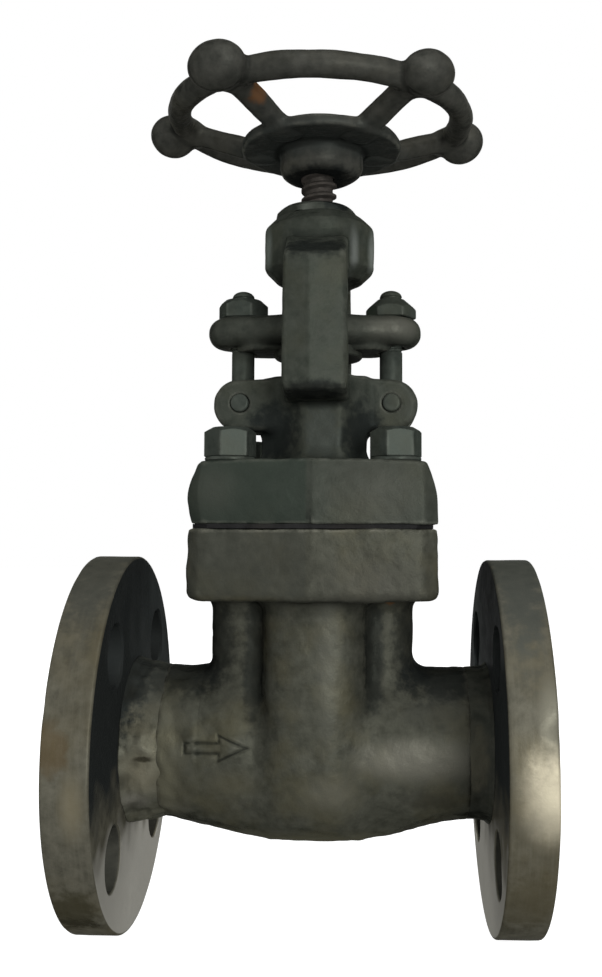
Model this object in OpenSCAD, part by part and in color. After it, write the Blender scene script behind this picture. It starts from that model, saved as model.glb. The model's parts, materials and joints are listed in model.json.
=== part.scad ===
// Small forged steel gate valve with welded end flanges, a bolted bonnet,
// an outside screw and yoke, and a handwheel fixed on the rising stem.
// Origin at the centre of the inlet flange's raised face.
// +X is the way of flow, +Z runs up the stem, and -Y is the front.

/* [Ends] */
// Distance from the inlet flange's face to the stem axis
inlet_l = 61.8; // [57:0.1:80]
// Distance from the outlet flange's face to the stem axis
outlet_l = 58.2; // [55:0.1:80]
// Outside diameter of the end flanges
flange_d = 98; // [96:0.1:130]
// Thickness of the end flange rims, without the raised face
flange_t = 11.4; // [9:0.1:14]
// Diameter of the raised face
raised_d = 43; // [40:0.5:50]
// Height of the raised face
raised_h = 1.6; // [1:0.1:3]
// Diameter of the circle that the flange holes lie on
bolt_circle_d = 69.9; // [66:0.1:75]
// Diameter of the flange holes
flange_hole_d = 15.9; // [12:0.1:18]
// Outside diameter of the stub behind each end flange
stub_d = 33; // [28:0.5:36]
// Diameter of the flow bore
bore_d = 18; // [12:0.5:18.5]
// Outside diameter of the weld between stub and body
weld_d = 44; // [41:0.5:48]
// Height that the weld's middle stands above its edges
weld_crown = 2.4; // [0.5:0.1:3]

/* [Body] */
// Distance from the stem axis to each end of the forged run
run_half_l = 39.5; // [36:0.5:40]
// Outside diameter of the forged run
run_d = 39.8; // [37:0.5:44]
// Depth of the belly below the flow axis
belly_depth = 25.8; // [24:0.2:30]
// Width of the body neck along the flow
neck_w = 54; // [50:1:58]
// Depth of the body neck's side lobes, front to back
lobe_depth = 25; // [22:1:30]
// Width of the boss down the front and back of the body
boss_w = 26.6; // [24:0.2:30]
// Depth over the front and back bosses
boss_depth = 48; // [42:1:54]
// Corner radius of the neck's side lobes
neck_corner_r = 9; // [4:0.5:10.5]
// Corner radius of the front and back bosses
boss_corner_r = 11; // [6:0.5:11.5]
// Width of the body flange
body_flange_w = 61.6; // [58:0.2:70]
// Height of the body flange's underside above the flow axis
body_flange_z = 39.5; // [36:0.5:44]
// Thickness of the body flange
body_flange_t = 17; // [14:0.5:20]
// Height of the forging ridge on the front and back of both square flanges
ridge_h = 2.4; // [0.5:0.1:3]
// How far the corners of both square flanges are turned down
corner_cut = 2.6; // [1:0.1:5]
// Radius of the vertical chamber that the gate slides in
chamber_r = 14.6; // [14:0.1:15.4]

/* [Bonnet] */
// Thickness of the gasket between body and bonnet
gasket_t = 1.1; // [0.8:0.1:2]
// Diameter of the hole in the gasket's middle
gasket_in_d = 31; // [30:0.5:34]
// Distance that the gasket's edge stays inside the flanges' sides
gasket_inset = 1; // [0.4:0.2:2]
// Width of the bonnet flange
bonnet_w = 61.6; // [58:0.2:70]
// Thickness of the bonnet flange
bonnet_t = 16.4; // [13:0.2:20]
// Width of the slope along both sides of the bonnet flange's top
bonnet_slope_w = 3; // [1:0.1:3.4]
// Height of the slope along both sides of the bonnet flange's top
bonnet_slope_h = 5; // [2:0.5:8]
// Diameter of the bonnet bolts
bolt_d = 6.3; // [5:0.1:7.5]
// Size of the bonnet bolt heads across their flats
bolt_flats = 11.1; // [9:0.1:12]
// Height of the bonnet bolt heads
bolt_head_h = 7.8; // [4:0.2:9]
// Distance between neighbouring bonnet bolts
bolt_pitch = 42; // [41:0.5:46]
// Depth of the bolt threads in the body flange
bolt_grip = 11.5; // [8:0.5:12]
// Thickness of the washers under the bonnet bolt heads
washer_t = 1; // [0.6:0.1:2]
// Diameter of the bonnet neck
bonnet_neck_d = 28.4; // [26:0.2:30]
// Height of the bonnet neck above the bonnet flange
bonnet_neck_h = 23; // [22:0.5:27]
// Height of the flare where the neck meets the bonnet flange
flare_h = 6; // [2:0.5:8]
// Width of the flare where the neck meets the bonnet flange
flare_w = 3; // [1:0.5:4]
// Diameter of the packing chamber
packing_d = 16.4; // [14:0.2:18]
// Depth of the packing chamber
packing_depth = 18; // [14:1:20]
// Length of the packing
packing_l = 12; // [8:1:13]

/* [Yoke] */
// Width of each yoke arm
arm_w = 16.2; // [12:0.2:20]
// Distance from the stem axis to the outer face of each arm
arm_reach = 28.2; // [26:0.2:32]
// Thickness of each arm
arm_t = 9.2; // [6:0.2:10]
// Depth of the arms' feet below the top of the bonnet neck
arm_foot_h = 7.2; // [5:0.2:14]
// Height that the arms' heads reach above the window
arm_head_h = 11.5; // [8:0.5:13]
// Height of the window between the bonnet neck and the yoke head
window_h = 27; // [26:0.5:34]
// Diameter of the yoke head
head_d = 29.6; // [26:0.2:34]
// Height of the yoke head
head_h = 17.7; // [14:0.1:22]
// Size of the slopes at the top and bottom edges of the yoke head
head_slope = 3; // [1:0.5:4]
// Size of the yoke nut across its corners
yoke_nut_corners = 22.8; // [20:0.2:25]
// Height of the yoke nut's hexagon
yoke_nut_h = 4.2; // [3:0.1:7]
// Diameter of the yoke nut's sleeve
yoke_sleeve_d = 15; // [13:0.2:18]

/* [Gland] */
// Distance from the stem axis to each eyebolt
eyebolt_reach = 20.3; // [20:0.1:24]
// Diameter of the eyebolts
eyebolt_d = 6.2; // [5:0.1:7]
// Diameter of each eyebolt's eye
eye_d = 10.4; // [9.5:0.1:10.8]
// Diameter of the pin through each eye
pin_d = 4.8; // [3:0.1:5.5]
// Length of each pin
pin_l = 15.6; // [14.5:0.1:20]
// Thickness of the lugs that hold the pins, front to back
lug_depth = 14; // [12:0.5:18]
// Radius of the lugs round the pins
lug_r = 6.8; // [6:0.1:7.2]
// Height of the pins above the bonnet flange
pin_z = 16.2; // [15.6:0.1:17]
// Thickness of the gland flange
gland_t = 8; // [5:0.5:8.5]
// Height of the gap between the bonnet neck and the gland follower's collar
gland_gap = 6; // [5:0.5:7]
// Radius of the gland flange's ends
gland_end_r = 8; // [6.8:0.1:9]
// Distance that the gland flange's outline is off its holes, towards the inlet
gland_offset = 1.3; // [0:0.1:1.5]
// Radius of the middle of the gland flange
gland_mid_r = 13.5; // [10:0.5:16]
// Diameter of the gland follower's collar
collar_d = 24; // [20:0.5:28]
// Thickness of the gland follower's collar
collar_t = 3; // [2:0.5:4]
// Size of the gland nuts across their flats
gland_nut_flats = 11.7; // [9.5:0.1:12.5]
// Height of the gland nuts
gland_nut_h = 5.2; // [4:0.2:8]
// Length of eyebolt that stands above each gland nut
eyebolt_end = 2.7; // [1:0.5:5]

/* [Gate and stem] */
// Diameter of the stem
stem_d = 9.8; // [8:0.1:12]
// Distance that the gate lifts from closed to open
lift = 21; // [18:0.5:21]
// Radius of the gate
gate_r = 12; // [11.2:0.1:12]
// Thickness of the gate at the flow axis
gate_t = 12; // [10:0.5:12]
// Slope of each gate face
gate_slope = 5; // [3:0.5:5]
// Height of the gate's top above the flow axis
gate_top = 23; // [22.5:0.5:24]
// Diameter of the stem's head, inside the gate
stem_head_d = 12; // [11:0.5:12.5]
// Width of the gate above its disc, front to back
gate_neck_w = 17.8; // [16:0.2:20]
// Thickness of the stem's head
stem_head_t = 4; // [3:0.5:4.5]
// Diameter of the narrow part between the stem's head and its shaft
stem_waist_d = 7; // [5:0.5:7.5]
// Outside diameter of the seat rings
seat_d = 24.8; // [22:0.1:25.5]
// Length of stem that shows between the yoke nut and the handwheel
stem_show = 8.1; // [5:0.1:12]
// Height of the shoulder that stops the stem against the bonnet
shoulder_h = 3; // [2:0.5:4]
// Distance that the shoulder stays below the bonnet when the gate is open
shoulder_gap = 3; // [1:0.5:4]
// Length of stem that stands above the handwheel nut
stem_end = 1; // [0.5:0.5:4]

/* [Handwheel] */
// Radius from the stem axis to the middle of the rim
rim_r = 39.2; // [32:0.1:50]
// Thickness of the rim
rim_t = 6.4; // [5:0.1:8]
// Height of the rim's middle above the bottom of the hub
rim_z = 15.7; // [14:0.1:20]
// Angle that the rim's back is tipped up
rim_tip_back = 1.9; // [0:0.1:3]
// Angle that the rim's outlet side is tipped down
rim_tip_side = 1; // [0:0.1:3]
// Number of spokes, with a knob at the end of each
spokes = 5; // [3:1:6]
// Angle of the first spoke from the flow axis
spoke_angle = 22.4; // [0:0.1:71]
// Thickness of the spokes
spoke_t = 6; // [4:0.1:6.4]
// Diameter of the knobs
knob_d = 13.4; // [10:0.1:16]
// Distance from the rim's middle out to the middle of each knob
knob_out = 4.8; // [1:0.1:6]
// Diameter of the hub's lower boss
hub_d = 20.6; // [18:0.2:26]
// Diameter of the hub's disc
hub_disc_d = 44; // [36:0.5:46]
// Thickness of the hub's disc
hub_disc_t = 3; // [2.5:0.1:3.4]
// Height of the hub's disc above the bottom of the hub
hub_disc_z = 6.5; // [5:0.5:6.5]
// Full height of the hub
hub_h = 10.2; // [10:0.1:14]
// Diameter of the stem's end, inside the hub
spigot_d = 8; // [6:0.1:8.6]
// Size of the handwheel nut across its flats
wheel_nut_flats = 13; // [11:0.5:15]
// Height of the handwheel nut
wheel_nut_h = 4.4; // [4:0.1:8]
// Thickness of the handwheel washer
wheel_washer_t = 1.2; // [0.8:0.1:2]

/* [Fits] */
// Gap all round between pieces that are fixed in each other
fit = 0.05; // [0.02:0.01:0.15]
// Gap all round between the stem and the yoke nut's thread
thread_fit = 0.08; // [0.05:0.01:0.1]
// Gap all round between the stem and what it passes through without touching
stem_clear = 0.35; // [0.2:0.05:0.5]
// Gap all round between each bolt and the hole that it passes through
bolt_clear = 0.35; // [0.2:0.05:0.6]
// Gap between the gate's faces and the seats
seat_gap = 0.1; // [0.05:0.05:0.3]

/* [Hidden] */
// A little extra length, so that cuts run past the faces they open
over = 1;

// Heights above the flow axis, from the bottom up
body_top = body_flange_z + body_flange_t;
bonnet_bottom = body_top + gasket_t;
bonnet_top = bonnet_bottom + bonnet_t;
neck_top = bonnet_top + bonnet_neck_h;
packing_bottom = neck_top - packing_depth;
collar_bottom = neck_top + gland_gap;
gland_bottom = collar_bottom + collar_t;
gland_top = gland_bottom + gland_t;
head_bottom = neck_top + window_h;
head_top = head_bottom + head_h;
yoke_nut_top = head_top + yoke_nut_h;
hub_bottom = yoke_nut_top + stem_show;
hub_top = hub_bottom + hub_h;
wheel_nut_bottom = hub_top + wheel_washer_t;
stem_top = wheel_nut_bottom + wheel_nut_h + stem_end;
pin_height = bonnet_top + pin_z;

// Gaps between the run's ends and the flanges, which the welds fill
inlet_weld_l = inlet_l - raised_h - flange_t - run_half_l;
outlet_weld_l = outlet_l - raised_h - flange_t - run_half_l;

// The belly is a piece of ring that sags below the run
belly_r = run_d / 2 - 1;
belly_sag = belly_depth - belly_r;
belly_arc_r = (run_half_l * run_half_l + belly_sag * belly_sag) / (2 * belly_sag);

// The seats stop at a shoulder this far from the stem axis
seat_back = 16;
chamber_floor = gate_r + 1.5;
stem_head_bottom = gate_r + 2.5;
slot_gap = 0.3;
stem_shaft_bottom = gate_top + 1;
shoulder_top = bonnet_bottom - lift - shoulder_gap;
shoulder_d = stem_d + 4.4;

// Slots in the lugs, and the lugs' outlines
slot_w = eyebolt_d + 2 * slot_gap;
slot_in = eyebolt_reach - eye_d / 2 - slot_gap;
eye_w = eyebolt_d - 0.6;

// The arms, lugs and bosses start this far inside what they stand on
buried = 0.5;
arm_root = packing_d / 2 - fit;

// How far the bonnet bolts and gland nuts are turned from square
bolt_turn = 12;
gland_nut_turn = 10;

// Corner-to-flat ratio of a hexagon
hex = 1 / cos(30);

// Points on an arc of radius r round [x, y], from angle a to angle b
function arc(x, y, r, a, b, n = 8) =
    [for (i = [0:n]) [x + r * cos(a + (b - a) * i / n), y + r * sin(a + (b - a) * i / n)]];

// Outline of a w by d rectangle with corners of radius r
function rounded(w, d, r) = concat(
    arc(w / 2 - r, d / 2 - r, r, 0, 90), arc(r - w / 2, d / 2 - r, r, 90, 180),
    arc(r - w / 2, r - d / 2, r, 180, 270), arc(w / 2 - r, r - d / 2, r, 270, 360));

module on_axis() { translate([inlet_l, 0, 0]) children(); }

// A cylinder along +X that starts at x
module rod_x(x, l, d) { translate([x, 0, 0]) rotate([0, 90, 0]) cylinder(h = l, d = d, $fn = 96); }

// A cylinder along +Z that starts at z
module rod_z(z, l, d) { translate([0, 0, z]) cylinder(h = l, d = d, $fn = 96); }

// A hexagonal prism with flats s apart, and corners at +X and -X before turning
module hexagon(z, h, s, turn = 0) {
    translate([0, 0, z]) rotate([0, 0, turn]) cylinder(h = h, d = s * hex, $fn = 6);
}

module ring_z(z, h, outer, inner) {
    difference() {
        rod_z(z, h, outer);
        rod_z(z - over, h + 2 * over, inner);
    }
}

// A square block with a ridge down its front and back, and its corners turned round
module square_block(w, z, t) {
    intersection() {
        translate([0, 0, z]) linear_extrude(height = t) polygon([
            [-w / 2, -w / 2], [0, -w / 2 - ridge_h], [w / 2, -w / 2],
            [w / 2, w / 2], [0, w / 2 + ridge_h], [-w / 2, w / 2]]);
        rod_z(z - over, t + 2 * over, w * sqrt(2) - 2 * corner_cut);
    }
}

// Copies a child to bonnet bolt i, from 0 at the left front, anticlockwise
module at_bolt(i) {
    x = (i == 0 || i == 3) ? -1 : 1;
    y = i < 2 ? -1 : 1;
    translate([x * bolt_pitch / 2, y * bolt_pitch / 2, 0]) children();
}

module run_and_belly() {
    bend = 40;
    rod_x(-run_half_l, 2 * run_half_l, run_d);
    intersection() {
        translate([0, 0, belly_arc_r - belly_sag]) rotate([90, 0, 0])
            rotate([0, 0, 270 - bend / 2]) rotate_extrude(angle = bend, $fn = 96)
                translate([belly_arc_r, 0]) circle(r = belly_r, $fn = 96);
        translate([-run_half_l, -belly_depth, -2 * belly_depth])
            cube([2 * run_half_l, 2 * belly_depth, 2.5 * belly_depth]);
    }
}

module neck_and_bosses() {
    h = body_flange_z + buried;
    linear_extrude(height = h) polygon(rounded(neck_w, lobe_depth, neck_corner_r));
    linear_extrude(height = h) polygon(rounded(boss_w, boss_depth, boss_corner_r));
    intersection() {
        translate([0, 0, -belly_depth]) linear_extrude(height = belly_depth + buried)
            polygon(rounded(boss_w, boss_depth, boss_corner_r));
        rod_x(-boss_w, 2 * boss_w, 2 * (belly_depth - fit));
    }
}

module seat_pocket() { rod_x(-seat_back, 2 * seat_back, seat_d + 2 * fit); }

module body() {
    color([0.27, 0.28, 0.25]) on_axis() difference() {
        union() {
            run_and_belly();
            neck_and_bosses();
            square_block(body_flange_w, body_flange_z, body_flange_t);
        }
        rod_z(-chamber_floor, chamber_floor + body_top + over, 2 * chamber_r);
        rod_x(-run_half_l - over, 2 * run_half_l + 2 * over, bore_d);
        seat_pocket();
        for (i = [0:3]) at_bolt(i)
            rod_z(body_top - bolt_grip - slot_gap, bolt_grip + slot_gap + over, bolt_d + 2 * fit);
    }
}

// The weld round the stub, l long, with a crowned outside, starting at x = 0
module weld(l) {
    inner = stub_d / 2 + fit;
    toe = weld_d / 2 - weld_crown;
    rotate([0, 90, 0]) rotate_extrude($fn = 96) polygon(concat(
        [for (i = [0:6]) [toe + weld_crown * sin(30 * i), l * i / 6]], [[inner, l], [inner, 0]]));
}

module inlet_weld() {
    color([0.36, 0.35, 0.29]) translate([raised_h + flange_t, 0, 0]) weld(inlet_weld_l);
}

module outlet_weld() {
    color([0.3, 0.3, 0.27])
        translate([inlet_l + run_half_l, 0, 0]) weld(outlet_weld_l);
}

// An end flange with its raised face at x = 0 and its stub pointing to +X
module end_flange(stub_l) {
    difference() {
        union() {
            rod_x(0, raised_h + over, raised_d);
            rod_x(raised_h, flange_t, flange_d);
            rod_x(raised_h + flange_t - over, over + stub_l, stub_d);
        }
        rod_x(-over, raised_h + flange_t + stub_l + 2 * over, bore_d);
        for (i = [0:3]) rotate([45 + 90 * i, 0, 0])
            translate([0, bolt_circle_d / 2, 0])
                rod_x(-over, raised_h + flange_t + 2 * over, flange_hole_d);
    }
}

module inlet_flange() {
    color([0.4, 0.38, 0.3]) end_flange(inlet_weld_l);
}

module outlet_flange() {
    color([0.4, 0.38, 0.3]) translate([inlet_l + outlet_l, 0, 0]) mirror([1, 0, 0])
        end_flange(outlet_weld_l);
}

// Side outline of the gate's wedge, wider by gap on each face
function wedge_outline(gap, low, high) = [
    for (s = [[-1, low], [1, low], [1, high], [-1, high]])
        [s[0] * (gate_t / 2 + gap + s[1] * tan(gate_slope)), s[1]]];

module wedge(gap, low, high, depth) {
    rotate([90, 0, 0]) translate([0, 0, -depth / 2])
        linear_extrude(height = depth) polygon(wedge_outline(gap, low, high));
}

// A seat ring on the +X side, with its face sloped to meet the gate
module seat() {
    difference() {
        rod_x(0, seat_back, seat_d);
        rod_x(-over, seat_back + 2 * over, bore_d);
        wedge(seat_gap, -seat_d, seat_d, 2 * seat_d);
    }
}

module inlet_seat() { color([0.62, 0.6, 0.56]) on_axis() mirror([1, 0, 0]) seat(); }

module outlet_seat() { color([0.62, 0.6, 0.56]) on_axis() seat(); }

module gate() {
    slot_z = stem_head_bottom - slot_gap;
    slot_h = stem_head_t + 2 * slot_gap;
    color([0.6, 0.6, 0.58]) on_axis() difference() {
        intersection() {
            wedge(0, -gate_r - over, gate_top, 3 * gate_r);
            union() {
                rod_x(-gate_t, 2 * gate_t, 2 * gate_r);
                translate([-gate_t, -gate_neck_w / 2, 0])
                    cube([2 * gate_t, gate_neck_w, gate_top]);
            }
        }
        translate([-gate_t, -stem_head_d / 2 - slot_gap, slot_z])
            cube([2 * gate_t, stem_head_d + 2 * slot_gap, slot_h]);
        translate([-gate_t, -stem_waist_d / 2 - slot_gap, slot_z])
            cube([2 * gate_t, stem_waist_d + 2 * slot_gap, gate_top]);
    }
}

module bonnet_gasket() {
    color([0.12, 0.12, 0.12]) on_axis() difference() {
        square_block(body_flange_w - 2 * gasket_inset, body_top, gasket_t);
        rod_z(body_top - over, gasket_t + 2 * over, gasket_in_d);
        for (i = [0:3]) at_bolt(i)
            rod_z(body_top - over, gasket_t + 2 * over, bolt_d + 2 * bolt_clear);
    }
}

// Side outline of one yoke arm, from the bonnet neck up to the head
function arm_outline() =
    let (inside = arm_reach - arm_t, foot_r = arm_foot_h - 2.5, head_r = 4) concat(
        [[arm_root, neck_top]], [[arm_root, neck_top - arm_foot_h]],
        arc(arm_reach - foot_r, neck_top - arm_foot_h + foot_r, foot_r, 270, 360),
        [[arm_reach, head_bottom + 2], [head_d / 2 - 2, head_bottom + arm_head_h],
         [arm_root, head_bottom + arm_head_h], [arm_root, head_bottom]],
        arc(inside - head_r, head_bottom - 1 - head_r, head_r, 90, 0),
        arc(inside - 1, neck_top + 1, 1, 0, -90));

module arm() {
    rotate([90, 0, 90]) translate([0, 0, -arm_w / 2])
        linear_extrude(height = arm_w) polygon(arm_outline());
}

// The lug on the +X side, from the neck out to round the pin
module lug() {
    rotate([90, 0, 0]) translate([0, 0, -lug_depth / 2]) linear_extrude(height = lug_depth)
        polygon(concat([[arm_root, pin_height - lug_r]],
            arc(eyebolt_reach, pin_height, lug_r, -90, 90, 12), [[arm_root, pin_height + lug_r]]));
}

module both_sides() {
    children();
    mirror([1, 0, 0]) children();
}

module yoke_head() {
    rotate_extrude($fn = 96) polygon([
        [0, head_bottom], [head_d / 2 - head_slope, head_bottom],
        [head_d / 2, head_bottom + head_slope], [head_d / 2, head_top - head_slope],
        [yoke_nut_corners / 2, head_top], [0, head_top]]);
}

// The bonnet flange, with a slope along both sides of its top
module bonnet_block() {
    side = bonnet_w / 2;
    difference() {
        square_block(bonnet_w, bonnet_bottom, bonnet_t);
        both_sides() rotate([90, 0, 0]) translate([0, 0, -bonnet_w])
            linear_extrude(height = 2 * bonnet_w) polygon([
                [side + bonnet_slope_w, bonnet_top - 2 * bonnet_slope_h],
                [side + bonnet_slope_w, bonnet_top + bonnet_slope_h],
                [side - 2 * bonnet_slope_w, bonnet_top + bonnet_slope_h]]);
    }
}

module bonnet() {
    color([0.24, 0.26, 0.24]) on_axis() difference() {
        union() {
            bonnet_block();
            translate([0, 0, bonnet_top - buried]) cylinder(
                h = flare_h + buried, d1 = bonnet_neck_d + 2 * flare_w, d2 = bonnet_neck_d - over,
                $fn = 96);
            rod_z(bonnet_top - buried, bonnet_neck_h + buried, bonnet_neck_d);
            both_sides() lug();
            arm();
            mirror([0, 1, 0]) arm();
            yoke_head();
        }
        rod_z(bonnet_bottom - over, packing_bottom - bonnet_bottom + 2 * over, stem_d + 2 * stem_clear);
        rod_z(packing_bottom, packing_depth + over, packing_d);
        rod_z(head_bottom - over, head_h + 2 * over, yoke_sleeve_d + 2 * fit);
        for (i = [0:3]) at_bolt(i)
            rod_z(bonnet_bottom - over, bonnet_t + 2 * over, bolt_d + 2 * bolt_clear);
        both_sides() translate([slot_in, -slot_w / 2, pin_height - lug_r - over])
            cube([eyebolt_reach, slot_w, 2 * lug_r + 2 * over]);
        both_sides() translate([eyebolt_reach, lug_depth, pin_height]) rotate([90, 0, 0])
            cylinder(h = 2 * lug_depth, d = pin_d + 2 * fit, $fn = 48);
    }
}

module bonnet_bolt(i) {
    color([0.3, 0.31, 0.29]) on_axis() at_bolt(i) {
        rod_z(body_top - bolt_grip, bolt_grip + gasket_t + bonnet_t + washer_t + buried, bolt_d);
        hexagon(bonnet_top + washer_t, bolt_head_h, bolt_flats, bolt_turn);
    }
}

module bonnet_washer(i) {
    color([0.34, 0.35, 0.32]) on_axis() at_bolt(i)
        ring_z(bonnet_top, washer_t, bolt_flats * hex, bolt_d + 2 * bolt_clear);
}

module stem_packing() {
    color([0.15, 0.15, 0.15]) on_axis()
        ring_z(packing_bottom, packing_l, packing_d - 2 * fit, stem_d + 2 * thread_fit);
}

module gland_follower() {
    color([0.33, 0.33, 0.31]) on_axis() difference() {
        union() {
            rod_z(packing_bottom + packing_l, gland_bottom - packing_bottom - packing_l,
                packing_d - 2 * stem_clear);
            rod_z(collar_bottom, collar_t, collar_d);
        }
        rod_z(packing_bottom, gland_top, stem_d + 2 * stem_clear);
    }
}

module gland_flange() {
    color([0.26, 0.28, 0.26]) on_axis() difference() {
        translate([-gland_offset, 0, gland_bottom]) linear_extrude(height = gland_t) polygon(concat(
            arc(eyebolt_reach, 0, gland_end_r, -75, 75), arc(0, 0, gland_mid_r, 60, 120),
            arc(-eyebolt_reach, 0, gland_end_r, 105, 255), arc(0, 0, gland_mid_r, 240, 300)));
        rod_z(gland_bottom - over, gland_t + 2 * over, stem_d + 2 * bolt_clear + 2 * stem_clear);
        both_sides() translate([eyebolt_reach, 0, 0])
            rod_z(gland_bottom - over, gland_t + 2 * over, eyebolt_d + 2 * bolt_clear);
    }
}

module eyebolt() {
    translate([eyebolt_reach, 0, 0]) difference() {
        union() {
            rod_z(pin_height, gland_top + gland_nut_h + eyebolt_end - pin_height, eyebolt_d);
            translate([0, eye_w / 2, pin_height]) rotate([90, 0, 0])
                cylinder(h = eye_w, d = eye_d, $fn = 64);
        }
        translate([0, eyebolt_d, pin_height]) rotate([90, 0, 0])
            cylinder(h = 2 * eyebolt_d, d = pin_d + 2 * fit, $fn = 48);
    }
}

module right_eyebolt() { color([0.3, 0.31, 0.29]) on_axis() eyebolt(); }

module left_eyebolt() { color([0.3, 0.31, 0.29]) on_axis() mirror([1, 0, 0]) eyebolt(); }

module eyebolt_pin() {
    translate([eyebolt_reach, pin_l / 2, pin_height]) rotate([90, 0, 0])
        cylinder(h = pin_l, d = pin_d, $fn = 48);
}

module right_eyebolt_pin() { color([0.4, 0.4, 0.37]) on_axis() eyebolt_pin(); }

module left_eyebolt_pin() { color([0.4, 0.4, 0.37]) on_axis() mirror([1, 0, 0]) eyebolt_pin(); }

module gland_nut() {
    translate([eyebolt_reach, 0, 0]) difference() {
        hexagon(gland_top, gland_nut_h, gland_nut_flats, gland_nut_turn);
        rod_z(gland_top - over, gland_nut_h + 2 * over, eyebolt_d + 2 * fit);
    }
}

module right_gland_nut() { color([0.3, 0.31, 0.29]) on_axis() gland_nut(); }

module left_gland_nut() { color([0.3, 0.31, 0.29]) on_axis() mirror([1, 0, 0]) gland_nut(); }

module yoke_nut() {
    color([0.28, 0.3, 0.27]) on_axis() difference() {
        union() {
            rod_z(head_bottom, head_h + buried, yoke_sleeve_d);
            hexagon(head_top, yoke_nut_h, yoke_nut_corners / hex);
        }
        rod_z(head_bottom - over, head_h + yoke_nut_h + 2 * over, stem_d + 2 * thread_fit);
    }
}

module stem() {
    color([0.35, 0.32, 0.28]) on_axis() {
        rod_z(stem_head_bottom, stem_head_t, stem_head_d);
        rod_z(stem_head_bottom, stem_shaft_bottom - stem_head_bottom + buried, stem_waist_d);
        rod_z(stem_shaft_bottom, hub_bottom - stem_shaft_bottom, stem_d);
        rod_z(shoulder_top - shoulder_h, shoulder_h, shoulder_d);
        rod_z(hub_bottom - over, stem_top - hub_bottom + over, spigot_d);
    }
}

// One spoke that climbs from the hub's disc to the rim, with its knob; the rim's middle is at z = 0
module spoke_and_knob() {
    start = hub_disc_d / 2 - spoke_t;
    climb = rim_z - hub_disc_z - hub_disc_t / 2;
    translate([start, 0, -climb]) rotate([0, atan2(rim_r - start, climb), 0])
        cylinder(h = norm([rim_r - start, climb]), d = spoke_t, $fn = 48);
    translate([rim_r + knob_out, 0, 0]) sphere(d = knob_d, $fn = 64);
}

module handwheel() {
    color([0.2, 0.21, 0.19]) on_axis() difference() {
        union() {
            rod_z(hub_bottom, hub_h, hub_d);
            rod_z(hub_bottom + hub_disc_z, hub_disc_t, hub_disc_d);
            translate([0, 0, hub_bottom + rim_z]) rotate([rim_tip_back, rim_tip_side, 0]) {
                rotate_extrude($fn = 128) translate([rim_r, 0]) circle(d = rim_t, $fn = 48);
                for (i = [0:spokes - 1]) rotate([0, 0, spoke_angle + 360 / spokes * i])
                    spoke_and_knob();
            }
        }
        rod_z(hub_bottom - over, hub_h + 2 * over, spigot_d + 2 * fit);
    }
}

module handwheel_washer() {
    color([0.4, 0.4, 0.37]) on_axis()
        ring_z(hub_top, wheel_washer_t, wheel_nut_flats * hex + 1, spigot_d + 2 * fit);
}

module handwheel_nut() {
    color([0.35, 0.36, 0.33]) on_axis() difference() {
        hexagon(wheel_nut_bottom, wheel_nut_h, wheel_nut_flats);
        rod_z(wheel_nut_bottom - over, wheel_nut_h + 2 * over, spigot_d + 2 * fit);
    }
}

body();
inlet_weld();
outlet_weld();
inlet_flange();
outlet_flange();
inlet_seat();
outlet_seat();
bonnet_gasket();
bonnet();
bonnet_bolt(0);  // bonnet_bolt_1
bonnet_bolt(1);  // bonnet_bolt_2
bonnet_bolt(2);  // bonnet_bolt_3
bonnet_bolt(3);  // bonnet_bolt_4
bonnet_washer(0);  // bonnet_washer_1
bonnet_washer(1);  // bonnet_washer_2
bonnet_washer(2);  // bonnet_washer_3
bonnet_washer(3);  // bonnet_washer_4
stem_packing();
gland_follower();
gland_flange();
left_eyebolt();
right_eyebolt();
left_eyebolt_pin();
right_eyebolt_pin();
left_gland_nut();
right_gland_nut();
yoke_nut();
gate();
stem();
handwheel();
handwheel_washer();
handwheel_nut();
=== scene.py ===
import json
import math
import bmesh
import bpy
import numpy as np
from mathutils import Matrix, Vector


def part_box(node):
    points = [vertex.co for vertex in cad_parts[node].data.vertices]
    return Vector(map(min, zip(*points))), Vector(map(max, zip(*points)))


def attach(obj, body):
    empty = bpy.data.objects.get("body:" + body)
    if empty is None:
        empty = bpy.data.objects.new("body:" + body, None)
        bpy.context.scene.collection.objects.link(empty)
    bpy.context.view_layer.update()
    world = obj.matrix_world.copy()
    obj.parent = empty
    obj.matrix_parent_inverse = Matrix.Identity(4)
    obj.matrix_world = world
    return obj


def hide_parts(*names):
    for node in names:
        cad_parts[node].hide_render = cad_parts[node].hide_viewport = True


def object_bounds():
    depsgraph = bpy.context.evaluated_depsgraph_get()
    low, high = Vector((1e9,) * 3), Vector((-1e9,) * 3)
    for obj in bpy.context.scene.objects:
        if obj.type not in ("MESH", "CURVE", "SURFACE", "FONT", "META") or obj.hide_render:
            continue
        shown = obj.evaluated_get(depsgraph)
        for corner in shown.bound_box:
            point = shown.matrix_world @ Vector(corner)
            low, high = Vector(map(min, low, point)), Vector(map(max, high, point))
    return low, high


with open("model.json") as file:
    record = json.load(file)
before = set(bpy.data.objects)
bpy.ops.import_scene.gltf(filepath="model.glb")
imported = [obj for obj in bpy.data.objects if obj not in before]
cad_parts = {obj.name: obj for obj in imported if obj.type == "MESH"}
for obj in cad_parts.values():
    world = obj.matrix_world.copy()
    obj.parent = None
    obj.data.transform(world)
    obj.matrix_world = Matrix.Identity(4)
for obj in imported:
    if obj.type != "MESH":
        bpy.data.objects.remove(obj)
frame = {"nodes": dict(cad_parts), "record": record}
cadLow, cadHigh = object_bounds()
mm = 0.001  # sizes below are in millimetres, as in the CAD, and meshes are in metres


def span(node):  # the lowest and highest corner of a CAD node, in millimetres
    low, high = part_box(node)
    return np.array(low) / mm, np.array(high) / mm


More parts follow.
